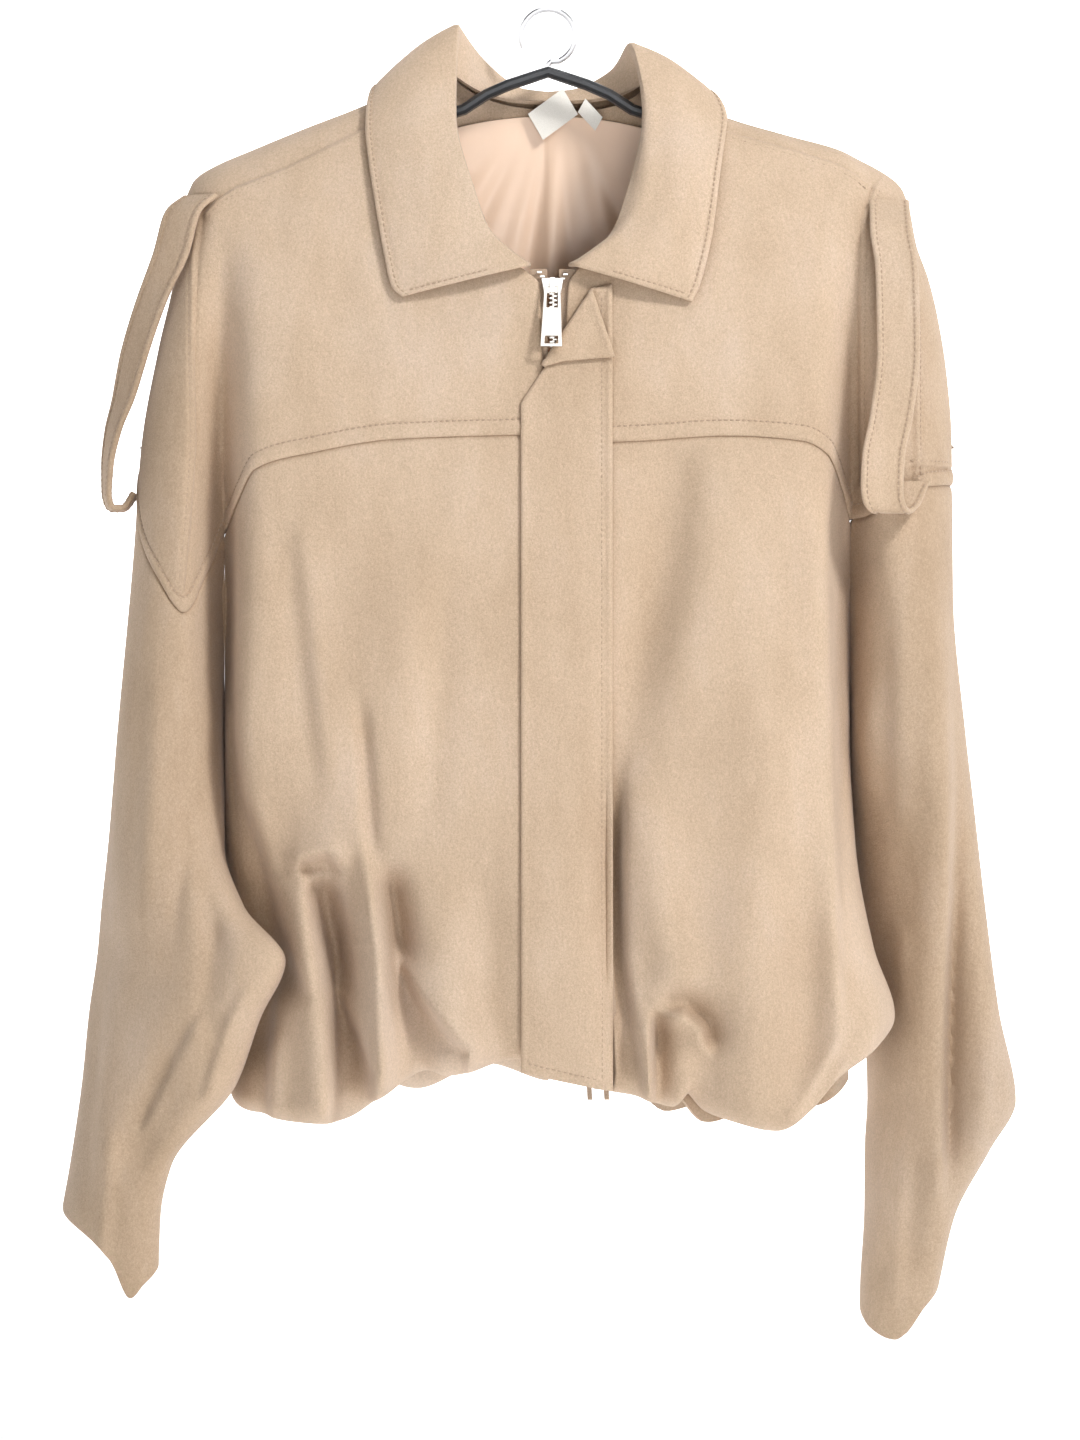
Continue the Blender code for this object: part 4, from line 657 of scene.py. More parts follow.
# Along the collar from its front end (place 0) to the middle of the back (place 7): where it is sewn
# in, where it turns over, and its loose edge
COLLAR = {
    LEFT: table(
        "place neck_x neck_drop neck_y roll_x roll_drop roll_y edge_x edge_drop edge_y",
        (0, 10, 156.5, -44, 11.5, 157, -54, 86, 175, -49.5),
        (1, 26, 147, -43, 24, 146, -52, 92, 170, -49),
        (2, 37, 136, -40, 34, 135, -48, 97, 150, -46.5),
        (3, 46.5, 114, -37, 44, 107, -44, 101, 128, -43),
        (4, 57.5, 70, -22, 54.5, 62, -27, 109, 71, -23),
        (5, 58.5, 36, 0, 53, 6, 0, 105, 47, 2),
        (6, 38, 48, 12, 38, 24, 26, 84, 74, 28),
        (6.6, 15, 51.7, 19.2, 15, 41, 29.6, 36, 104, 39.3),
        (7, 0, 52, 20, 0, 43, 30, 0, 107, 40)),
    RIGHT: table(
        "place neck_x neck_drop neck_y roll_x roll_drop roll_y edge_x edge_drop edge_y",
        (0, 12, 156.5, -44, 15, 157, -54, 85, 178, -49.5),
        (1, 28, 147, -43, 29, 146, -52, 89, 170, -49),
        (2, 38, 137, -40, 44, 134, -48, 97, 138, -46),
        (3, 47, 114, -37, 57, 108, -45, 102, 101, -36),
        (4, 57, 70, -22, 58, 68, -30, 107, 65, -13),
        (5, 58, 42, 0, 48, 17, 0, 98, 50, 1),
        (6, 38, 50, 12, 38, 30, 26, 84, 78, 27.5),
        (6.6, 15, 51.7, 19.2, 15, 41.5, 29.6, 36, 104, 39.3),
        (7, 0, 52, 20, 0, 43, 30, 0, 107, 40)),
}
COLLAR_WALL = 2.5
COLLAR_BEND = 6.0           # how far from the turn the bend begins
COLLAR_STAND_SHARE = 0.4    # and at most this share of the stand
COLLAR_LIFT = 3.0, 2.4      # the fall swells this far off a straight line, at its thirds
COLLAR_CENTRE = np.array([0.0, 0.0, -120.0])
COLLAR_LAST, COLLAR_SAMPLES = 7, 141    # place of the back's middle, and samples up to it
COLLAR_ENDS = 0.36, -5      # the front ends' stitches begin at this share, and stop this near the edge

TEETH_FROM, TEETH_TO, TEETH_PITCH = 160.0, 647.0, 2.6
TEETH_SPREAD = (160, 166, 171), (8.2, 4.0, 0.9)     # drops, and distance from the zip's middle there
TOOTH = 1.5, 1.1, 0.62  # half sizes across the zip, out and along it
TOOTH_INWARD, TOOTH_BEVEL = 1.6, 0.25

FLAP_FOLD = np.array([(29, 169), (-16.2, 238)], float)      # x, drop: the corner is turned along here
FLAP_OUTLINE = ((29, 169), (38, 167), (38, 642), (32, 641), (-16, 631), (-16.2, 238))
TURNED_EDGE = ((9, 213.5), (39.6, 211))                     # the turned corner's edge as it lies
FLAP_WALL = 1.8
TURNED_LENGTH = 57.0    # length of the fold line where the corner is turned
FLAP_BEND = 1.7         # radius of the bend, in the middle of the cloth
FLAP_CLEAR = 0.7
FLAP_CUTS = np.arange(-14.0, 37, 3), np.arange(172.0, 640, 3.6)     # x and drops of its grid lines
FLAP_BEND_CUTS = 9      # and this many across the bend
FLAP_MERGE = 0.08       # points closer than this become one
FLAP_LONG = 20.0        # an edge longer than this gets closer grid lines beside it
# Its topstitching: a direction in the cloth across the line, and x, drop points
FLAP_STITCHES = (((1, 0, 0), ((31.5, 175), (31.5, 635))),
                 ((0, 0, 1), ((-11.8, 245), (-11.8, 625.5), (31, 635.5))))
FLAP_SINK = 0.35        # how far the topstitching lies in the cloth

STRAPS = {
    LEFT: table(
        "x y drop turn",
        (-207, -23, 113, 34),
        (-217, -25, 122, 30),
        (-225, -25, 149, 30),
        (-236, -17, 173, 40),
        (-246.6, -10, 203, 46),
        (-254.5, -6, 233, 57),
        (-260.5, -4, 251, 66),
        (-264, -4, 272, 74),
        (-264.5, -4, 288, 78),
        (-261.5, -2.5, 298, 82),
        (-255, -1, 298, 86),
        (-247.65, 0, 289, 90)),
    RIGHT: table(
        "x y drop turn",
        (203, -24, 116, 20),
        (203, -38, 134, 14),
        (206, -47, 160, 8),
        (206.5, -54, 205, 8),
        (202, -59, 245, 8),
        (197, -62, 270, 10),
        (196, -65, 289, 12),
        (197.5, -65, 298, 14),
        (202, -60, 302, 16),
        (207, -54.5, 298, 18),
        (211, -50.5, 290, 20),
        (214, -48.5, 284, 22)),
}
STRAP_HALF, STRAP_WALL, STRAP_SAMPLES = 13.0, 3.0, 161

LINING_HALF, LINING_TOP, LINING_SAG, LINING_END = 72.0, 60.0, 12.0, 215.0
LINING_WALL = 1.2
LINING_GRID = 97, 61
LINING_CLEAR, LINING_DROOP = 0.6, 4.0       # how far it hangs off the back, at the top and below
LINING_BOW = 2.2        # and how much more at its side edges
LINING_CENTRE = 7.0, 26.0       # x and drop that the lining's folds spread from
LINING_FOLDS, LINING_GROW = (2.0, 11), 2    # height and waves in a turn; full at 1 / this of its length
LINING_WAVES = (2.6, 23, 0.7), (1.8, 37, 2.0)   # finer ones near the neck, with their phase
LINING_PUFF = 4.2               # how far the cloth swells there
LINING_NEAR = 2.5, 0.75         # they are full at 1 / this of its length, and fade past this share


# ---------------------------------------------------------------------------------------- meshes

EDGE_STEPS = np.array([0, 0.4, 0.9, 1.5, 2.3, 3.3, 4.5, 6.0])   # from an edge, where the cloth rolls
CELL = 3.2              # of the back's grids
YOKE_CELL, LOWER_CELL, SLEEVE_CELL = 1.7, 1.8, 2.4      # of the other panels' grids
FINE_CELL = 2.4         # of the collar, straps and flap
SHARP = math.radians(50)
EVEN_SAMPLES = 401      # along a line on the cloth, to space its grid evenly
EVEN_LINES = 0.02, 0.98, 15     # first, last and number of those lines


def stations(length, cell, start, end):
    """Distances along a piece about `cell` apart, and closer at the ends that are edges."""
    low = EDGE_STEPS if start else EDGE_STEPS[:1]
    high = length - (EDGE_STEPS if end else EDGE_STEPS[:1])[::-1]
    count = max(int(round((high[0] - low[-1]) / cell)), 1)
    return np.concatenate([low[:-1], np.linspace(low[-1], high[0], count + 1), high[1:]])


def run_along(points, axis):
    """Distance along the cloth from the first row of points, in the grid's direction `axis`."""
    steps = np.linalg.norm(np.diff(points, axis=axis), axis=-1)
    zero = np.zeros_like(np.take(steps, [0], axis=axis))
    return np.concatenate([zero, np.cumsum(steps, axis=axis)], axis=axis)


def even_shares(surface, axis, cell, start=True, end=True, breaks=()):
    """Values of u (axis 0) or v (axis 1) from 0 to 1 that lie evenly on the cloth, on average."""
    fine, other = np.linspace(0, 1, EVEN_SAMPLES), np.linspace(*EVEN_LINES)
    u, v = np.meshgrid(fine, other, indexing="ij")
    points = surface(u, v) if axis == 0 else surface(v, u)
    run = run_along(points, 0).mean(axis=1)
    knots = [0.0, *np.interp(breaks, fine, run), run[-1]]
    wanted = [[0.0]]
    for low, high in zip(knots, knots[1:]):
        part = stations(high - low, cell, start and low == 0, end and high == run[-1])
        wanted.append(low + part[1:])
    return np.interp(np.concatenate(wanted), run, fine)


def link(name, points, faces, made_of, flip=False):
    mesh = bpy.data.meshes.new(name)
    mesh.from_pydata((MM * np.asarray(points)).tolist(), [], [list(face) for face in faces])
    mesh.validate()
    if flip:
        mesh.flip_normals()
    mesh.shade_smooth()
    mesh.set_sharp_from_angle(angle=SHARP)
    mesh.materials.append(made_of)
    made = bpy.data.objects.new(name, mesh)
    bpy.context.scene.collection.objects.link(made)
    return made


def layers(name, outer, inner, made_of):
    """A closed sheet between two grids of points, its faces turned outward."""
    columns, rows = outer.shape[:2]
    count = columns * rows
    number = np.arange(count).reshape(columns, rows)
    cells = np.stack([number[:-1, :-1], number[1:, :-1], number[1:, 1:], number[:-1, 1:]], axis=-1)
    cells = cells.reshape(-1, 4)
    ring = np.concatenate([number[:-1, 0], number[-1, :-1], number[:0:-1, -1], number[0, :0:-1]])
    after = np.roll(ring, -1)
    rim = np.stack([ring, ring + count, after + count, after], axis=-1)
    faces = np.concatenate([cells, cells[:, ::-1] + count, rim]).tolist()
    points = np.concatenate([outer.reshape(-1, 3), inner.reshape(-1, 3)])
    middle = columns // 2, rows // 2
    centre = outer[middle]
    out = np.cross(outer[middle[0] + 1, middle[1]] - centre, outer[middle[0], middle[1] + 1] - centre)
    return link(name, points, faces, made_of, flip=out @ (centre - inner[middle]) < 0)


STITCH_AWAY = 9.5       # of the topstitching above the yoke seam
EDGE_STITCH = 4.4       # of the topstitching along the collar, straps and flap
SEAM_STITCH = 4.0       # of the topstitching beside the seams across the yokes
EDGE_RADIUS = 1.3       # of a raw edge
# How the cloth stands off its surface near an edge: how far the edge itself rolls in, then dents
# and swells as height, distance from the edge and width
EDGES = {
    "join": (0, ()),
    "open": (0.9, ()),
    "under": (0, ((-1.3, 0, 1.6), (-0.3, 2, 3))),
    "stitched": (0, ((-0.7, 0, 0.8), (0.75, STITCH_AWAY / 2, 4.4), (-0.75, STITCH_AWAY, 1.3))),
}
SEAM_STEP = 1.1, 0.8, 8         # height of the upper cloth beside a seam, its steepness and reach
SEAM_GROOVE = -1.3, 0, 1.2      # height, distance from the seam and width
SEAM_PULL = -0.5, 1.0           # height and width of the dent along its topstitching
PAD_ROUND, PAD_LEAST = 1.5, 0.02    # a double edge's round: its width, and share of the wall to start
PAD_DENTS = (0.35, 2.4, 1.2), (-0.5, EDGE_STITCH, 0.9)      # height, distance and width


def dents(away, *rows):
    return sum(height * np.exp(-((away - at) / width) ** 2) for height, at, width in rows)


def round_over(away, radius):
    """Height of a quarter round, 0-1 and squared, at a distance from its edge."""
    return 1 - (1 - np.clip(away / radius, 0, 1)) ** 2


def relief(points, edges):
    """How far each point of a grid stands out, from the finish of the panel's four edges."""
    along_u, along_v = run_along(points, 0), run_along(points, 1)
    away = {"u0": along_u, "u1": along_u[-1:] - along_u, "v0": along_v, "v1": along_v[:, -1:] - along_v}
    height = np.zeros(points.shape[:2])
    for edge, kind in edges.items():
        roll, rows = EDGES[kind]
        height += dents(away[edge], *rows) - roll * (1 - np.sqrt(round_over(away[edge], EDGE_RADIUS)))
    return height


def ride(piece, cad_nodes):
    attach(piece, BODY)
    if cad_nodes:
        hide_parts(*cad_nodes)
    return piece


# -------------------------------------------------------------------------------------- stitches

STITCHES = []           # rings of points of all topstitching, joined into one mesh at the end
STITCH_PITCH, STITCH_LONG = 3.5, 2.6
STITCH_FIRST = 0.5      # where a line's first stitch starts
STITCH_RADIUS, STITCH_SIDES = 0.42, 5
# Along a stitch: the places of its rings, their girth and how far they stand off the cloth
STITCH_SHARES = np.array([0.0, 0.16, 0.5, 0.84, 1.0])
STITCH_GIRTH = np.array([0.35, 0.9, 1.0, 0.9, 0.35])
STITCH_RISE = np.array([-0.3, 0.15, 0.25, 0.15, -0.3])
SEAM_SINK = -0.1        # beside the seams across the yokes it lies this much deeper
FINE_LINE = 2.0


def stitch(path, normals, lift=0.0):
    """Stitches along a line on the cloth; `normals` point out of it."""
    run = run_along(path, 0)
    starts = np.arange(STITCH_FIRST, run[-1] - STITCH_LONG, STITCH_PITCH)
    if not len(starts):
        return
    at = starts[:, None] + STITCH_LONG * STITCH_SHARES

    def sample(values):
        return np.stack([np.interp(at, run, values[:, axis]) for axis in range(3)], axis=-1)

    centre, out = sample(path), unit(sample(normals))
    along = unit(np.gradient(centre, axis=1))
    side = unit(np.cross(along, out))
    out = np.cross(side, along)
    centre = centre + out * (STITCH_RISE + lift)[:, None]
    turn = np.linspace(0, 2 * np.pi, STITCH_SIDES, endpoint=False)
    girth = (STITCH_RADIUS * STITCH_GIRTH)[:, None, None]
    ring = (centre[:, :, None] + girth * (np.cos(turn)[:, None] * side[:, :, None]
                                          + np.sin(turn)[:, None] * out[:, :, None]))
    STITCHES.append(ring.reshape(len(starts), -1, 3))


def make_stitches(thread):
    rings = np.concatenate(STITCHES)
    count = rings.shape[1]
    number = np.arange(count).reshape(-1, STITCH_SIDES)
    after = np.roll(number, -1, axis=1)
    faces = np.stack([number[:-1], after[:-1], after[1:], number[1:]], axis=-1).reshape(-1, 4)
    faces = (faces[None] + count * np.arange(len(rings))[:, None, None]).reshape(-1, 4)
    ride(link("topstitching", rings.reshape(-1, 3), faces.tolist(), thread), ())


def fine_line(points):
    """Points about FINE_LINE apart on a line through x, drop points."""
    line = np.array(points, float)
    run = run_along(line, 0)
    at = np.linspace(0, run[-1], int(run[-1] / FINE_LINE) + 2)
    return np.stack([np.interp(at, run, line[:, axis]) for axis in (0, 1)], axis=-1)


def line_inside(points, normals, edge, away):
    """The line on a grid at a distance `away` from one of its edges, and its normals."""
    if edge in ("u0", "u1"):
        points, normals = points.transpose(1, 0, 2), normals.transpose(1, 0, 2)
    if edge in ("u1", "v1"):
        points, normals = points[:, ::-1], normals[:, ::-1]
    run = run_along(points, 1)
    found = []
    for values in (points, normals):
        found.append(np.array([[np.interp(away, run[k], values[k, :, axis]) for axis in range(3)]
                               for k in range(len(points))]))
    return found


# ---------------------------------------------------------------------------------------- panels

def seam_relief(points, lines):
    """Height beside seams across a panel, where one cloth is turned over the other."""
    height = np.zeros(points.shape[:2])
    step, steepness, reach = SEAM_STEP
    pull, pull_width = SEAM_PULL
    for size, line in lines:
        away, along = to_line(line, points[..., 0], -points[..., 2])
        beside = size * step * np.tanh(away / steepness) * np.exp(-(away / reach) ** 2)
        beside = beside + abs(size) * dents(away, SEAM_GROOVE)
        beside = beside + dents(away, (pull, np.sign(size) * SEAM_STITCH, pull_width))
        height += beside * ((along > SEAM_END) & (along < 1 - SEAM_END))
    return height


def panel(name, surface, axis_x, edges, made_of, cell, breaks=(), cad=(), stitched=(), seams=()):
    """A wall on surface(u, v) with the given finish at each edge."""
    close = {edge for edge, kind in edges.items() if kind != "join"}
    u = even_shares(surface, 0, cell, "u0" in close, "u1" in close, breaks)
    v = even_shares(surface, 1, cell, "v0" in close, "v1" in close)
    grid_u, grid_v = np.meshgrid(u, v, indexing="ij")
    points = surface(grid_u, grid_v)
    inward = surface_normals(surface, grid_u, grid_v, axis_x)
    height = relief(points, edges) + seam_relief(points, seams)
    outer = points - height[..., None] * inward
    for edge, away, span in stitched:
        line, out = line_inside(outer, -inward, edge, away)
        first, last = (int(share * (len(line) - 1)) for share in span)
        stitch(line[first:last + 1], out[first:last + 1])
    return ride(layers(name, outer, points + WALL * inward, made_of), cad)


# Seams across the front yokes, as x, drop points; plus stands high on the line's right
SHOULDER_SEAM = {
    LEFT: (0.9, ((-72, 60), (-111, 72), (-155, 95), (-186, 107), (-199, 116), (-206, 124))),
    RIGHT: (-0.9, ((70, 54), (104, 72), (143, 83), (172, 92), (184, 99), (194, 107))),
}
ARMHOLE_SEAM = {
    LEFT: (-0.9, ((-206, 124), (-209, 150), (-209, 200), (-208, 262), (-211, 310), (-215, 350))),
    RIGHT: (0.9, ((194, 107), (186, 128), (184, 170), (184, 230), (185, 285))),
}
SLEEVE_SEAMS = {
    LEFT: (),
    RIGHT: ((0.6, ((217, 176), (217, 220), (217, 284))), (0.6, ((214, 275), (228, 275), (239, 275)))),
}
SEAM_END = 0.001        # past a seam's ends, in shares of it, the cloth is flat


def stitch_beside(side, size, line):
    """Topstitching on a front yoke beside a seam across it."""
    path = fine_line(line)
    along = unit(np.gradient(path, axis=0))
    path = path + np.sign(size) * SEAM_STITCH * np.stack([along[:, 1], -along[:, 0]], axis=-1)

    def on_face(x, drop):
        return face_point(side, side * x, drop, FRONT)

    x, drop = path.T
    points = on_face(x, drop)
    normals = np.cross(on_face(x + 1, drop) - on_face(x - 1, drop),
                       on_face(x, drop - 1) - on_face(x, drop + 1))
    normals *= -np.sign(normals[:, 1:2])
    stitch(points, normals, SEAM_SINK)


WEB_SHARE = BODY_CELLS / (BODY_CELLS + SLEEVE_CELLS)      # where the web lies across a yoke


def make_panels(suede):
    for side, name in SIDES:
        seams = (SHOULDER_SEAM[side], ARMHOLE_SEAM[side], *SLEEVE_SEAMS[side])
        yoke = panel(f"yoke_front_{name}", yoke_surface(side, FRONT), 0,
                     {"v0": "stitched", "v1": "join", "u0": "open", "u1": "join"}, suede, YOKE_CELL,
                     (WEB_SHARE,), [f"front_yoke_{name}"], [("v0", STITCH_AWAY, (0, 1))], seams)
        for seam in seams:
            stitch_beside(side, *seam)
        lower = panel(f"lower_front_{name}", lower_surface(side, FRONT), 0,
                      {"v0": "under", "v1": "join", "u0": "open", "u1": "join"}, suede, LOWER_CELL, (),
                      [f"front_lower_{name}"])
        sleeve = panel(f"lower_sleeve_{name}", sleeve_surface(side), side * SLEEVE_AXIS_X,
                       {"v0": "under", "v1": "open", "u0": "join", "u1": "join"}, suede, SLEEVE_CELL,
                       (0.5,), [f"sleeve_{name}_front", f"sleeve_{name}_back"])


def make_back(suede):
    for name, build, cad, edges in (
            ("yoke_back", yoke_surface, "back_yoke", {"v0": "stitched", "v1": "join"}),
            ("lower_back", lower_surface, "back_lower", {"v0": "under", "v1": "join"})):
        grids = []
        first = build(LEFT, BACK)
        u = even_shares(first, 0, CELL, False, False, (WEB_SHARE,) if build is yoke_surface else ())
        v = even_shares(first, 1, CELL, True, False)
        grid_u, grid_v = np.meshgrid(u, v, indexing="ij")
        for side in (LEFT, RIGHT):
            surface = build(side, BACK)
            grids.append((surface(grid_u, grid_v), surface_normals(surface, grid_u, grid_v, 0)))
        (left, left_in), (right, right_in) = grids
        points = np.concatenate([left[::-1], right[1:]])
        inward = np.concatenate([left_in[:0:-1], unit(left_in[:1] + right_in[:1]), right_in[1:]])
        outer = points - relief(points, edges)[..., None] * inward
        if build is yoke_surface:
            stitch(*line_inside(outer, -inward, "v0", STITCH_AWAY))
        made = ride(layers(name, outer, points + WALL * inward, suede), [cad])


def make_band(suede):
    u, v = (np.linspace(0, 1, count) for count in BAND_GRID)
    grid_u, grid_v = np.meshgrid(u, v, indexing="ij")
    made = []
    for inset in (BAND_INSET, BAND_INSET + BAND_WALL):
        quarters = []
        for side, face, reverse in ((LEFT, FRONT, False), (LEFT, BACK, True), (RIGHT, BACK, False),
                                    (RIGHT, FRONT, True)):
            points = band_surface(side, face, inset)(grid_u, grid_v)
            quarters.append(points[::-1] if reverse else points)
        for first, second in zip(quarters, quarters[1:]):
            second[0] = (first[-1] + second[0]) / 2
        made.append(np.concatenate([points[:-1] for points in quarters[:-1]] + [quarters[-1]]))
    band = ride(layers("band_round_hem", *made, suede), ["hem_band"])


# ---------------------------------------------------------------------------------------- collar

def smooth_through(controls, shares):
    """Points on smooth lines through controls (lines, knots, 3), at shares of the mean length."""
    lengths = np.linalg.norm(np.diff(controls, axis=1), axis=-1).mean(axis=0)
    knots = np.concatenate([[0], np.cumsum(lengths)]) / lengths.sum()
    slopes = np.gradient(controls, knots, axis=1)
    k = np.clip(np.searchsorted(knots, shares) - 1, 0, len(knots) - 2)
    step = knots[k + 1] - knots[k]
    part = ((shares - knots[k]) / step)[None, :, None]
    return cubic(part, step[None, :, None], controls[:, k], controls[:, k + 1], slopes[:, k],
                 slopes[:, k + 1])


def collar_line(rows, part, place):
    x, y, drop = (read(rows, f"{part}_{axis}", place, "place") for axis in ("x", "y", "drop"))
    return np.stack([x, y, -drop], axis=-1)


def collar_controls(side, place):
    rows = COLLAR[side]
    neck, roll, edge = (collar_line(rows, part, place) for part in ("neck", "roll", "edge"))
    stand = np.linalg.norm(neck - roll, axis=-1, keepdims=True)
    before = roll + (neck - roll) * np.minimum(COLLAR_BEND / stand, COLLAR_STAND_SHARE)
    after = roll + unit(edge - roll) * COLLAR_BEND
    bend = (before + 2 * roll + after) / 4
    lift = unit(np.cross(np.gradient(edge, axis=0), edge - roll))
    lift *= np.sign((lift * (edge - COLLAR_CENTRE)).sum(axis=-1, keepdims=True))
    third = (edge - after) / 3
    swell = [after + (k + 1) * third + COLLAR_LIFT[k] * lift for k in (0, 1)]
    points = np.stack([neck, (neck + before) / 2, before, bend, after, *swell, edge], axis=1)
    points[..., 0] *= side
    return points


def padded_half(away, wall):
    """Half the thickness of a stitched double edge at a distance from it."""
    edge = np.sqrt(np.maximum(round_over(away, PAD_ROUND), PAD_LEAST ** 2))
    return wall / 2 * edge + dents(away, *PAD_DENTS)


def two_sided(name, middle, half, made_of, cad):
    normals = unit(np.cross(np.gradient(middle, axis=0), np.gradient(middle, axis=1)))
    made = layers(name, middle + half[..., None] * normals, middle - half[..., None] * normals, made_of)
    return ride(made, cad), normals


def stitch_edges(middle, half, normals, edges):
    """Topstitching along edges, on both faces of a double cloth.

    `edges` gives the share of each edge where it starts, and the point that it ends before.
    """
    for sign in (1, -1):
        face = middle + sign * half[..., None] * normals
        for edge, (first, last) in edges.items():
            line, out = line_inside(face, sign * normals, edge, EDGE_STITCH)
            first = int(first * len(line))
            stitch(line[first:last], out[first:last])


def make_collar(suede):
    fine = np.linspace(0, COLLAR_LAST, COLLAR_SAMPLES)
    controls = np.concatenate([collar_controls(LEFT, fine), collar_controls(RIGHT, fine)[-2::-1]])
    run = run_along(controls[:, -1:], 0)[:, 0]
    wanted = stations(run[-1], FINE_CELL, True, True)
    places = np.interp(wanted, run, np.arange(len(run)))
    index = np.clip(places.astype(int), 0, len(run) - 2)
    part = (places - index)[:, None, None]
    lines = controls[index] * (1 - part) + controls[index + 1] * part
    across = np.linalg.norm(np.diff(lines, axis=1), axis=-1).mean(axis=0).sum()
    shares = stations(across, FINE_CELL, False, True) / across
    middle = smooth_through(lines, shares)
    along, over = run_along(middle, 0), run_along(middle, 1)
    ends = np.minimum(along, along[-1:] - along)
    away = np.minimum(ends, over[:, -1:] - over)
    half = padded_half(away, COLLAR_WALL)
    made, normals = two_sided("shirt_collar", middle, half, suede, ["collar"])
    stitch_edges(middle, half, normals, {"v1": (0, None), "u0": COLLAR_ENDS, "u1": COLLAR_ENDS})


# ------------------------------------------------------------------------------------------ flap

def flap_outline():
    start = FLAP_FOLD[0]
    along = unit(FLAP_FOLD[1] - start)
    over = np.array([-along[1], along[0]])
    arc = math.pi * FLAP_BEND
    outline = [np.array(point, float) for point in FLAP_OUTLINE]
    end = start + TURNED_LENGTH * along
    turned = [np.array(point) - 2 * ((np.array(point) - start) @ over) * over + arc * over
              for point in TURNED_EDGE]
    return outline + [end, end + arc * over] + turned, start, over, arc


def to_edges(points, outline):
    """Distance of flat points from the nearest edge of an outline."""
    nearest = np.full(len(points), np.inf)
    for first, second in zip(outline, outline[1:] + outline[:1]):
        leg = second - first
        share = np.clip(((points - first) @ leg) / (leg @ leg), 0, 1)
        nearest = np.minimum(nearest, np.linalg.norm(points - first - share[:, None] * leg, axis=1))
    return nearest


def folded_flap(flat, start, over, arc):
    """Where flat points of the flap lie once its corner is turned."""
    away = np.maximum((flat - start) @ over, 0)
    angle = np.clip(away / FLAP_BEND, 0, math.pi)
    reach = FLAP_BEND * np.sin(angle) - np.maximum(away - arc, 0)
    folded = flat + (reach - away)[:, None] * over
    lift = FLAP_CLEAR + FLAP_WALL / 2 + FLAP_BEND * (1 - np.cos(angle))
    depth = spanned_depth(folded[:, 0], folded[:, 1]) + lift
    return np.stack([folded[:, 0], -depth, -folded[:, 1]], axis=-1)


def make_flap(suede):
    outline, start, over, arc = flap_outline()
    edit = bmesh.new()
    edit.faces.new([edit.verts.new((x, drop, 0)) for x, drop in outline])
    cuts = [((x, 0), (1, 0)) for x in FLAP_CUTS[0]]
    cuts += [((0, drop), (0, 1)) for drop in FLAP_CUTS[1]]
    cuts += [(start + over * away, over) for away in np.linspace(0, arc, FLAP_BEND_CUTS)]
    for first, second in zip(outline, outline[1:] + outline[:1]):
        along = unit(second - first)
        if np.linalg.norm(second - first) > FLAP_LONG:
            square = np.array([-along[1], along[0]])
            cuts += [(first + sign * step * square, square) for step in EDGE_STEPS[1:6]
                     for sign in (-1, 1)]
    for point, normal in cuts:
        bmesh.ops.bisect_plane(edit, geom=edit.verts[:] + edit.edges[:] + edit.faces[:], dist=1e-4,
                               plane_co=(*point, 0), plane_no=(*normal, 0))
    bmesh.ops.remove_doubles(edit, verts=edit.verts[:], dist=FLAP_MERGE)
    bmesh.ops.triangulate(edit, faces=[face for face in edit.faces if len(face.verts) > 4])
    edit.verts.index_update()
    flat = np.array([vertex.co[:2] for vertex in edit.verts])
    faces = [[vertex.index for vertex in face.verts] for face in edit.faces]
    rim = [[vertex.index for vertex in edge.verts] for edge in edit.edges if len(edge.link_faces) == 1]
    edit.free()
    points = folded_flap(flat, start, over, arc)
    normals = np.zeros_like(points)
    for face in faces:
        first, second, third = points[face[:3]]
        normals[face] += unit(np.cross(second - first, third - first))
    normals = unit(normals)
    if normals[np.argmax(flat[:, 1])][1] > 0:
        normals = -normals
        faces = [face[::-1] for face in faces]
    half = padded_half(to_edges(flat, outline), FLAP_WALL)[:, None]
    count = len(points)
    shell = faces + [[corner + count for corner in reversed(face)] for face in faces]
    shell += [[first, second, second + count, first + count] for first, second in rim]
    points_all = np.concatenate([points + half * normals, points - half * normals])
    made = link("zip_flap", points_all, shell, suede)
    edit = bmesh.new()
    edit.from_mesh(made.data)
    bmesh.ops.recalc_face_normals(edit, faces=edit.faces)
    edit.to_mesh(made.data)
    edit.free()
    ride(made, ["storm_flap"])
    for across, line in FLAP_STITCHES:
        path = folded_flap(fine_line(line), start, over, arc)
        out = unit(np.cross(np.gradient(path, axis=0), across))
        out *= np.sign(-out[:, 1:2] + 1e-9)
        stitch(path + out * (FLAP_WALL / 2 - FLAP_SINK), out)


# ------------------------------------------------------------------------------------ small things

def make_straps(suede):
    for side, name in SIDES:
        rows = STRAPS[side]
        knots = np.arange(len(rows["x"]))
        fine = np.linspace(0, knots[-1], STRAP_SAMPLES)

        def strap_path(places):
            return np.stack([blend(knots, rows[axis], places) for axis in ("x", "y", "drop")], axis=-1)

        rough = strap_path(fine)
        run = run_along(rough, 0)
        at = np.interp(stations(run[-1], FINE_CELL, True, True), run, fine)
        path = strap_path(at) * (1, 1, -1)
        turn = np.radians(blend(knots, rows["turn"], at))
        across = np.stack([np.cos(turn), side * np.sin(turn), np.zeros_like(turn)], axis=-1)
        shares = stations(2 * STRAP_HALF, FINE_CELL, True, True) - STRAP_HALF
        middle = path[:, None] + shares[None, :, None] * across[:, None]
        away = STRAP_HALF - np.abs(shares)
        half = np.broadcast_to(padded_half(away, STRAP_WALL), middle.shape[:2])
        made, normals = two_sided(f"shoulder_strap_{name}", middle, half, suede, [f"strap_{name}"])
        stitch_edges(middle, half, normals, {"v0": (0, None), "v1": (0, None)})


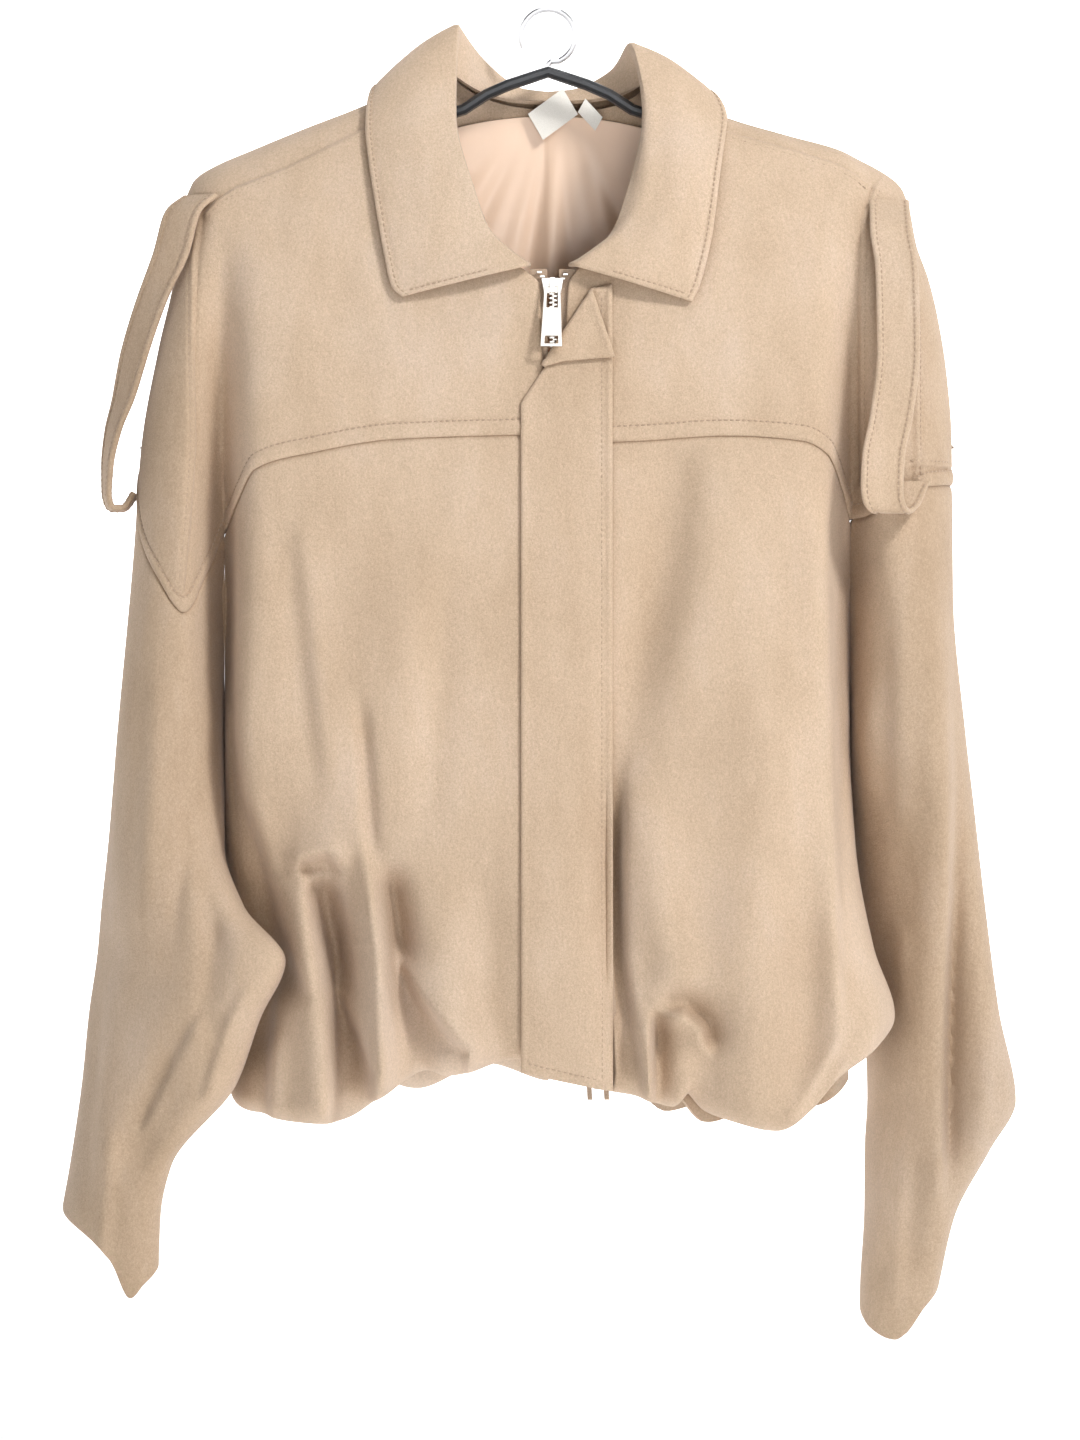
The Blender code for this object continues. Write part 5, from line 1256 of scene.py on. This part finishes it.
def make_lining(satin):
    across, down = LINING_GRID
    x, share = np.meshgrid(np.linspace(-LINING_HALF, LINING_HALF, across), np.linspace(0, 1, down),
                           indexing="ij")
    top = LINING_TOP + LINING_SAG * (x / LINING_HALF) ** 2
    drop = top + (LINING_END - top) * share
    angle = np.arctan2(x - LINING_CENTRE[0], drop - LINING_CENTRE[1])
    height, count = LINING_FOLDS
    waves = height * np.cos(count * angle) * np.clip(LINING_GROW * share, 0, 1)
    near = np.clip(LINING_NEAR[0] * share, 0, 1) * np.exp(-(share / LINING_NEAR[1]) ** 4)
    fine = sum(size * np.cos(count * angle + phase) for size, count, phase in LINING_WAVES)
    waves = waves + near * (LINING_PUFF + fine)
    inward = (WALL + LINING_WALL / 2 + LINING_CLEAR + LINING_BOW * (x / LINING_HALF) ** 2
              + LINING_DROOP * share + waves * share)
    y = surface_depth(x, drop, BACK) - inward
    middle = np.stack([x, y, -drop], axis=-1)
    half = np.full(x.shape, LINING_WALL / 2)
    made, _ = two_sided("neck_lining", middle, half, satin, ["back_lining"])


BOX_FACES = ((0, 1, 3, 2), (4, 6, 7, 5), (0, 4, 5, 1), (2, 3, 7, 6), (0, 2, 6, 4), (1, 5, 7, 3))


def make_teeth(nickel):
    corners = np.array([(x, -y, z) for x in (-1, 1) for y in (-1, 1) for z in (-1, 1)]) * TOOTH
    points = []
    for side in (LEFT, RIGHT):
        for drop in np.arange(TEETH_FROM + (side > 0) * TEETH_PITCH / 2, TEETH_TO, TEETH_PITCH):
            x = zip_x(drop) + side * np.interp(drop, *TEETH_SPREAD)
            y = TOOTH_INWARD - surface_depth(np.array(x), np.array(drop))
            points.append(np.array([x, float(y), -drop]) + corners)
    faces = [[corner + 8 * k for corner in face] for k in range(len(points)) for face in BOX_FACES]
    made = link("zip_teeth", np.concatenate(points), faces, nickel)
    bevel = made.modifiers.new("rounded", "BEVEL")
    bevel.width = TOOTH_BEVEL * MM
    bevel.segments = 1
    ride(made, ["zip_chain"])


# ------------------------------------------------------------------------------------- materials

class Nodes:
    """Short calls for a material's node tree."""

    def __init__(self, name):
        self.made = bpy.data.materials.new(name)
        self.made.use_nodes = True
        self.tree = self.made.node_tree
        self.shader = self.tree.nodes["Principled BSDF"]
        self.place = self.add("ShaderNodeTexCoord").outputs["Object"]

    def add(self, kind, **values):
        node = self.tree.nodes.new(kind)
        for name, value in values.items():
            setattr(node, name, value)
        return node

    def join(self, source, target):
        self.tree.links.new(source, target)

    def stretched(self, scale):
        node = self.add("ShaderNodeMapping")
        node.inputs["Scale"].default_value = scale
        self.join(self.place, node.inputs["Vector"])
        return node.outputs["Vector"]

    def noise(self, scale, detail=2.0, rough=0.5, stretch=None):
        node = self.add("ShaderNodeTexNoise")
        node.inputs["Scale"].default_value = scale
        node.inputs["Detail"].default_value = detail
        node.inputs["Roughness"].default_value = rough
        self.join(self.stretched(stretch) if stretch else self.place, node.inputs["Vector"])
        return node.outputs["Fac"]

    def ramp(self, source, *stops):
        node = self.add("ShaderNodeValToRGB")
        elements = node.color_ramp.elements
        while len(elements) < len(stops):
            elements.new(0.5)
        for element, (at, color) in zip(elements, stops):
            element.position = at
            element.color = (*color, 1)
        self.join(source, node.inputs["Fac"])
        return node.outputs["Color"]

    def times(self, product, *others):
        """Colours multiplied."""
        for other in others:
            node = self.add("ShaderNodeMix", data_type="RGBA", blend_type="MULTIPLY")
            node.inputs["Factor"].default_value = 1.0
            first, second = (socket for socket in node.inputs if socket.type == "RGBA")
            self.join(product, first)
            self.join(other, second)
            product = next(socket for socket in node.outputs if socket.type == "RGBA")
        return product

    def bump(self, height, distance, strength=1.0, under=None):
        node = self.add("ShaderNodeBump")
        node.inputs["Distance"].default_value = distance
        node.inputs["Strength"].default_value = strength
        self.join(height, node.inputs["Height"])
        if under:
            self.join(under, node.inputs["Normal"])
        return node.outputs["Normal"]

    def finish(self, color, normal, values):
        self.join(color, self.shader.inputs["Base Color"])
        if normal:
            self.join(normal, self.shader.inputs["Normal"])
        for name, value in values.items():
            self.shader.inputs[name].default_value = value
        return self.made


def suede_material():
    mat = Nodes("suede_nap_and_painted_shade")
    broad = mat.ramp(mat.noise(6, 4, 0.6, (1, 1, 0.45)), (0.34, (0.545, 0.408, 0.288)),
                     (0.52, (0.592, 0.452, 0.328)), (0.68, (0.628, 0.498, 0.386)))
    brushed = mat.ramp(mat.noise(30, 5, 0.65, (1, 1, 0.35)), (0.34, (0.92, 0.91, 0.89)),
                       (0.52, (1.0, 1.0, 1.0)), (0.70, (1.05, 1.07, 1.12)))
    flecks = mat.ramp(mat.noise(760, 4, 0.75, (1, 1, 0.7)), (0.32, (0.88, 0.87, 0.85)),
                      (0.68, (1.10, 1.10, 1.11)))
    grain = mat.ramp(mat.noise(1300, 2, 0.6), (0.25, (0.88, 0.87, 0.86)), (0.75, (1.11, 1.11, 1.12)))
    # Painted shade: from about 0.19 m to 0.22 m out from the middle the colour darkens, and it stays
    # darker over the sleeves and straps beyond.
    apart = mat.add("ShaderNodeSeparateXYZ")
    mat.join(mat.place, apart.inputs["Vector"])
    out = mat.add("ShaderNodeMath", operation="ABSOLUTE")
    mat.join(apart.outputs["X"], out.inputs[0])
    painted_sleeve_shade = mat.ramp(out.outputs["Value"], (0.188, (1.0, 1.0, 1.0)), (0.222, (0.84, 0.825, 0.80)))
    # Painted shade: an ambient occlusion probe darkens the colour in creases, along seams and under the
    # collar, straps and flap.
    closed = mat.add("ShaderNodeAmbientOcclusion", samples=6)
    closed.inputs["Distance"].default_value = 0.022
    creases = mat.ramp(closed.outputs["AO"], (0.25, (0.70, 0.64, 0.58)), (0.85, (1.0, 1.0, 1.0)))
    soft = mat.bump(mat.noise(70, 4, 0.6), 0.0018, 0.4)
    fine = mat.bump(mat.noise(1100, 3, 0.7), 0.0006, 0.8, soft)
    return mat.finish(mat.times(broad, brushed, flecks, grain, painted_sleeve_shade, creases), fine,
                      {"Roughness": 0.92, "Sheen Weight": 0.25, "Sheen Roughness": 0.5,
                       "Sheen Tint": (1.0, 0.90, 0.86, 1), "Specular IOR Level": 0.12})


METAL_GRAIN = 1800, 2, 0.5, (1, 1, 0.2)
TAPE_WEAVE, LABEL_WEAVE = (1300, 1, 0.5, (1, 1, 3)), (1600, 1, 0.5, (3, 1, 1))
# The other finishes: the colour's noise (scale, detail, roughness, stretch) and its two stops, the
# bump's noise, its depth and strength, and the shader's values
FINISHES = {
    "thread": ((900, 2), (0.3, (0.36, 0.255, 0.175)), (0.7, (0.47, 0.345, 0.245)),
               (2500, 1), (0.0002, 0.4), {"Roughness": 0.7, "Sheen Weight": 0.2}),
    "lining_satin": ((30, 3, 0.5, (1, 1, 0.3)), (0.3, (0.92, 0.655, 0.475)), (0.7, (0.97, 0.72, 0.54)),
                     (2600, 1, 0.5, (0.3, 1, 1)), (0.0001, 0.3),
                     {"Roughness": 0.36, "Sheen Weight": 0.3, "Sheen Tint": (1.0, 0.86, 0.76, 1),
                      "Specular IOR Level": 0.5}),
    "nickel_plate": ((300, 3), (0.3, (0.837, 0.819, 0.783)), (0.7, (0.93, 0.91, 0.87)),
                     METAL_GRAIN, (0.00005, 0.3), {"Metallic": 1.0, "Roughness": 0.42}),
    "hook_wire": ((300, 3), (0.3, (0.558, 0.558, 0.576)), (0.7, (0.62, 0.62, 0.64)),
                  METAL_GRAIN, (0.00005, 0.3), {"Metallic": 1.0, "Roughness": 0.3}),
    "hanger_plastic": ((40, 3), (0.35, (0.020, 0.021, 0.024)), (0.7, (0.034, 0.036, 0.041)),
                       (700, 2), (0.0001, 0.3), {"Roughness": 0.38}),
    "zip_tape_weave": (TAPE_WEAVE, (0.35, (0.36, 0.255, 0.175)), (0.65, (0.47, 0.345, 0.25)),
                       TAPE_WEAVE, (0.0002, 0.6), {"Roughness": 0.85, "Sheen Weight": 0.2}),
    "label_weave": (LABEL_WEAVE, (0.35, (0.84, 0.81, 0.74)), (0.65, (0.92, 0.89, 0.83)),
                    LABEL_WEAVE, (0.00015, 0.5), {"Roughness": 0.6, "Sheen Weight": 0.2}),
}
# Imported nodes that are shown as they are: their finish and how far their edges are softened
DRESSED = (("zip_tape_left", "zip_tape_weave", None), ("zip_tape_right", "zip_tape_weave", None),
           ("label_main", "label_weave", None), ("label_size", "label_weave", None),
           ("zip_slider", "nickel_plate", 0.2), ("zip_pull", "nickel_plate", 0.2),
           ("hanger_arms", "hanger_plastic", None), ("hanger_hook", "hook_wire", None))


def finish_material(name):
    color_noise, low, high, bump_noise, bump, values = FINISHES[name]
    mat = Nodes(name)
    return mat.finish(mat.ramp(mat.noise(*color_noise), low, high),
                      mat.bump(mat.noise(*bump_noise), *bump), values)


def dress(node, made_of, bevel=None):
    """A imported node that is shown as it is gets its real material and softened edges."""
    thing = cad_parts[node]
    thing.data.materials.clear()
    thing.data.materials.append(made_of)
    if bevel:
        soft = thing.modifiers.new("rounded", "BEVEL")
        soft.width = bevel * MM
        soft.segments = 2
        soft.limit_method = "ANGLE"


# -------------------------------------------------------------------------------- studio, camera

FLOOR_Z, FLOOR_REACH = -930.0, 9000.0
FLOOR_GLOW = (1.2, 3.2, 0.42, 1.0)      # metres from the jacket's hook, and the glow there
WALL_AWAY, WALL_TOP, WALL_POSTS = 7000.0, 5000.0, 33
PALE = (0.92, 0.92, 0.92)
VIEW_X, VIEW_Z = -0.0048, -0.4248
VIEW_TALL, VIEW_AWAY = 0.864, 3.0
SENSOR = 36
AIM = (0.0, 0.0, -0.42)
WORLD_STRENGTH = 0.04
LIGHTS = (      # name, place, width in metres and power
    ("key", (1.4, -1.6, 1.3), 0.55, 51.0),
    ("front", (0.5, -3.0, -0.7), 0.9, 19.0),
    ("fill", (-1.7, -1.9, 0.1), 1.4, 1.5),
    ("top", (0.1, -0.3, 1.6), 0.8, 10.0),
)


def pale_material(name):
    mat = Nodes(name)
    mat.finish(mat.ramp(mat.noise(2, 2), (0.3, PALE), (0.7, PALE)), None,
               {"Roughness": 0.9, "Emission Color": (1, 1, 1, 1), "Emission Strength": 1.0})
    return mat


def make_stage():
    """A pale floor that glows more away from the jacket, and a round white wall about it."""
    pale = pale_material("pale_floor")
    away = pale.add("ShaderNodeVectorMath", operation="LENGTH")
    pale.join(pale.place, away.inputs[0])
    grows = pale.add("ShaderNodeMapRange")
    for socket, value in zip(("From Min", "From Max", "To Min", "To Max"), FLOOR_GLOW):
        grows.inputs[socket].default_value = value
    pale.join(away.outputs["Value"], grows.inputs["Value"])
    pale.join(grows.outputs["Result"], pale.shader.inputs["Emission Strength"])
    corners = [(FLOOR_REACH * x, FLOOR_REACH * y, FLOOR_Z)
               for x, y in ((-1, -1), (1, -1), (1, 1), (-1, 1))]
    link("floor", corners, [(0, 1, 2, 3)], pale.made)
    white = pale_material("white_wall").made
    for name, start, lights in (("backdrop", 0, True), ("surround", math.pi, False)):
        turns = np.linspace(start, start + math.pi, WALL_POSTS)
        points = [(WALL_AWAY * math.cos(turn), WALL_AWAY * math.sin(turn), z)
                  for turn in turns for z in (FLOOR_Z, WALL_TOP)]
        faces = [(2 * k, 2 * k + 2, 2 * k + 3, 2 * k + 1) for k in range(len(turns) - 1)]
        wall = link(name, points, faces, white)
        wall.visible_diffuse = lights


def make_studio():
    scene = bpy.context.scene
    scene.view_settings.view_transform = "Standard"
    make_stage()
    world = bpy.data.worlds.new("studio")
    world.use_nodes = True
    sky = world.node_tree.nodes["Background"].inputs
    sky["Color"].default_value = (1, 1, 1, 1)
    sky["Strength"].default_value = WORLD_STRENGTH
    scene.world = world
    for name, place, size, power in LIGHTS:
        lamp = bpy.data.lights.new(name, "AREA")
        lamp.shape = "DISK"
        lamp.size = size
        lamp.energy = power
        light = bpy.data.objects.new(name, lamp)
        light.location = place
        aim = np.array(AIM) - np.array(place)
        light.rotation_mode = "QUATERNION"
        light.rotation_quaternion = Vector(aim).to_track_quat("-Z", "Y")
        light.visible_camera = False
        scene.collection.objects.link(light)
    camera = bpy.data.cameras.new("camera")
    camera.lens = SENSOR * VIEW_AWAY / VIEW_TALL
    camera.sensor_width = SENSOR
    shown = bpy.data.objects.new("camera", camera)
    shown.location = (VIEW_X, -VIEW_AWAY, VIEW_Z)
    shown.rotation_euler = (math.pi / 2, 0, 0)
    scene.collection.objects.link(shown)
    scene.camera = shown


def main():
    suede = suede_material()
    finishes = {name: finish_material(name) for name in FINISHES}
    for make in (make_panels, make_back, make_band, make_collar, make_flap, make_straps):
        make(suede)
    make_lining(finishes["lining_satin"])
    make_teeth(finishes["nickel_plate"])
    for node, name, bevel in DRESSED:
        dress(node, finishes[name], bevel)
    make_stitches(finishes["thread"])
    make_studio()


main()
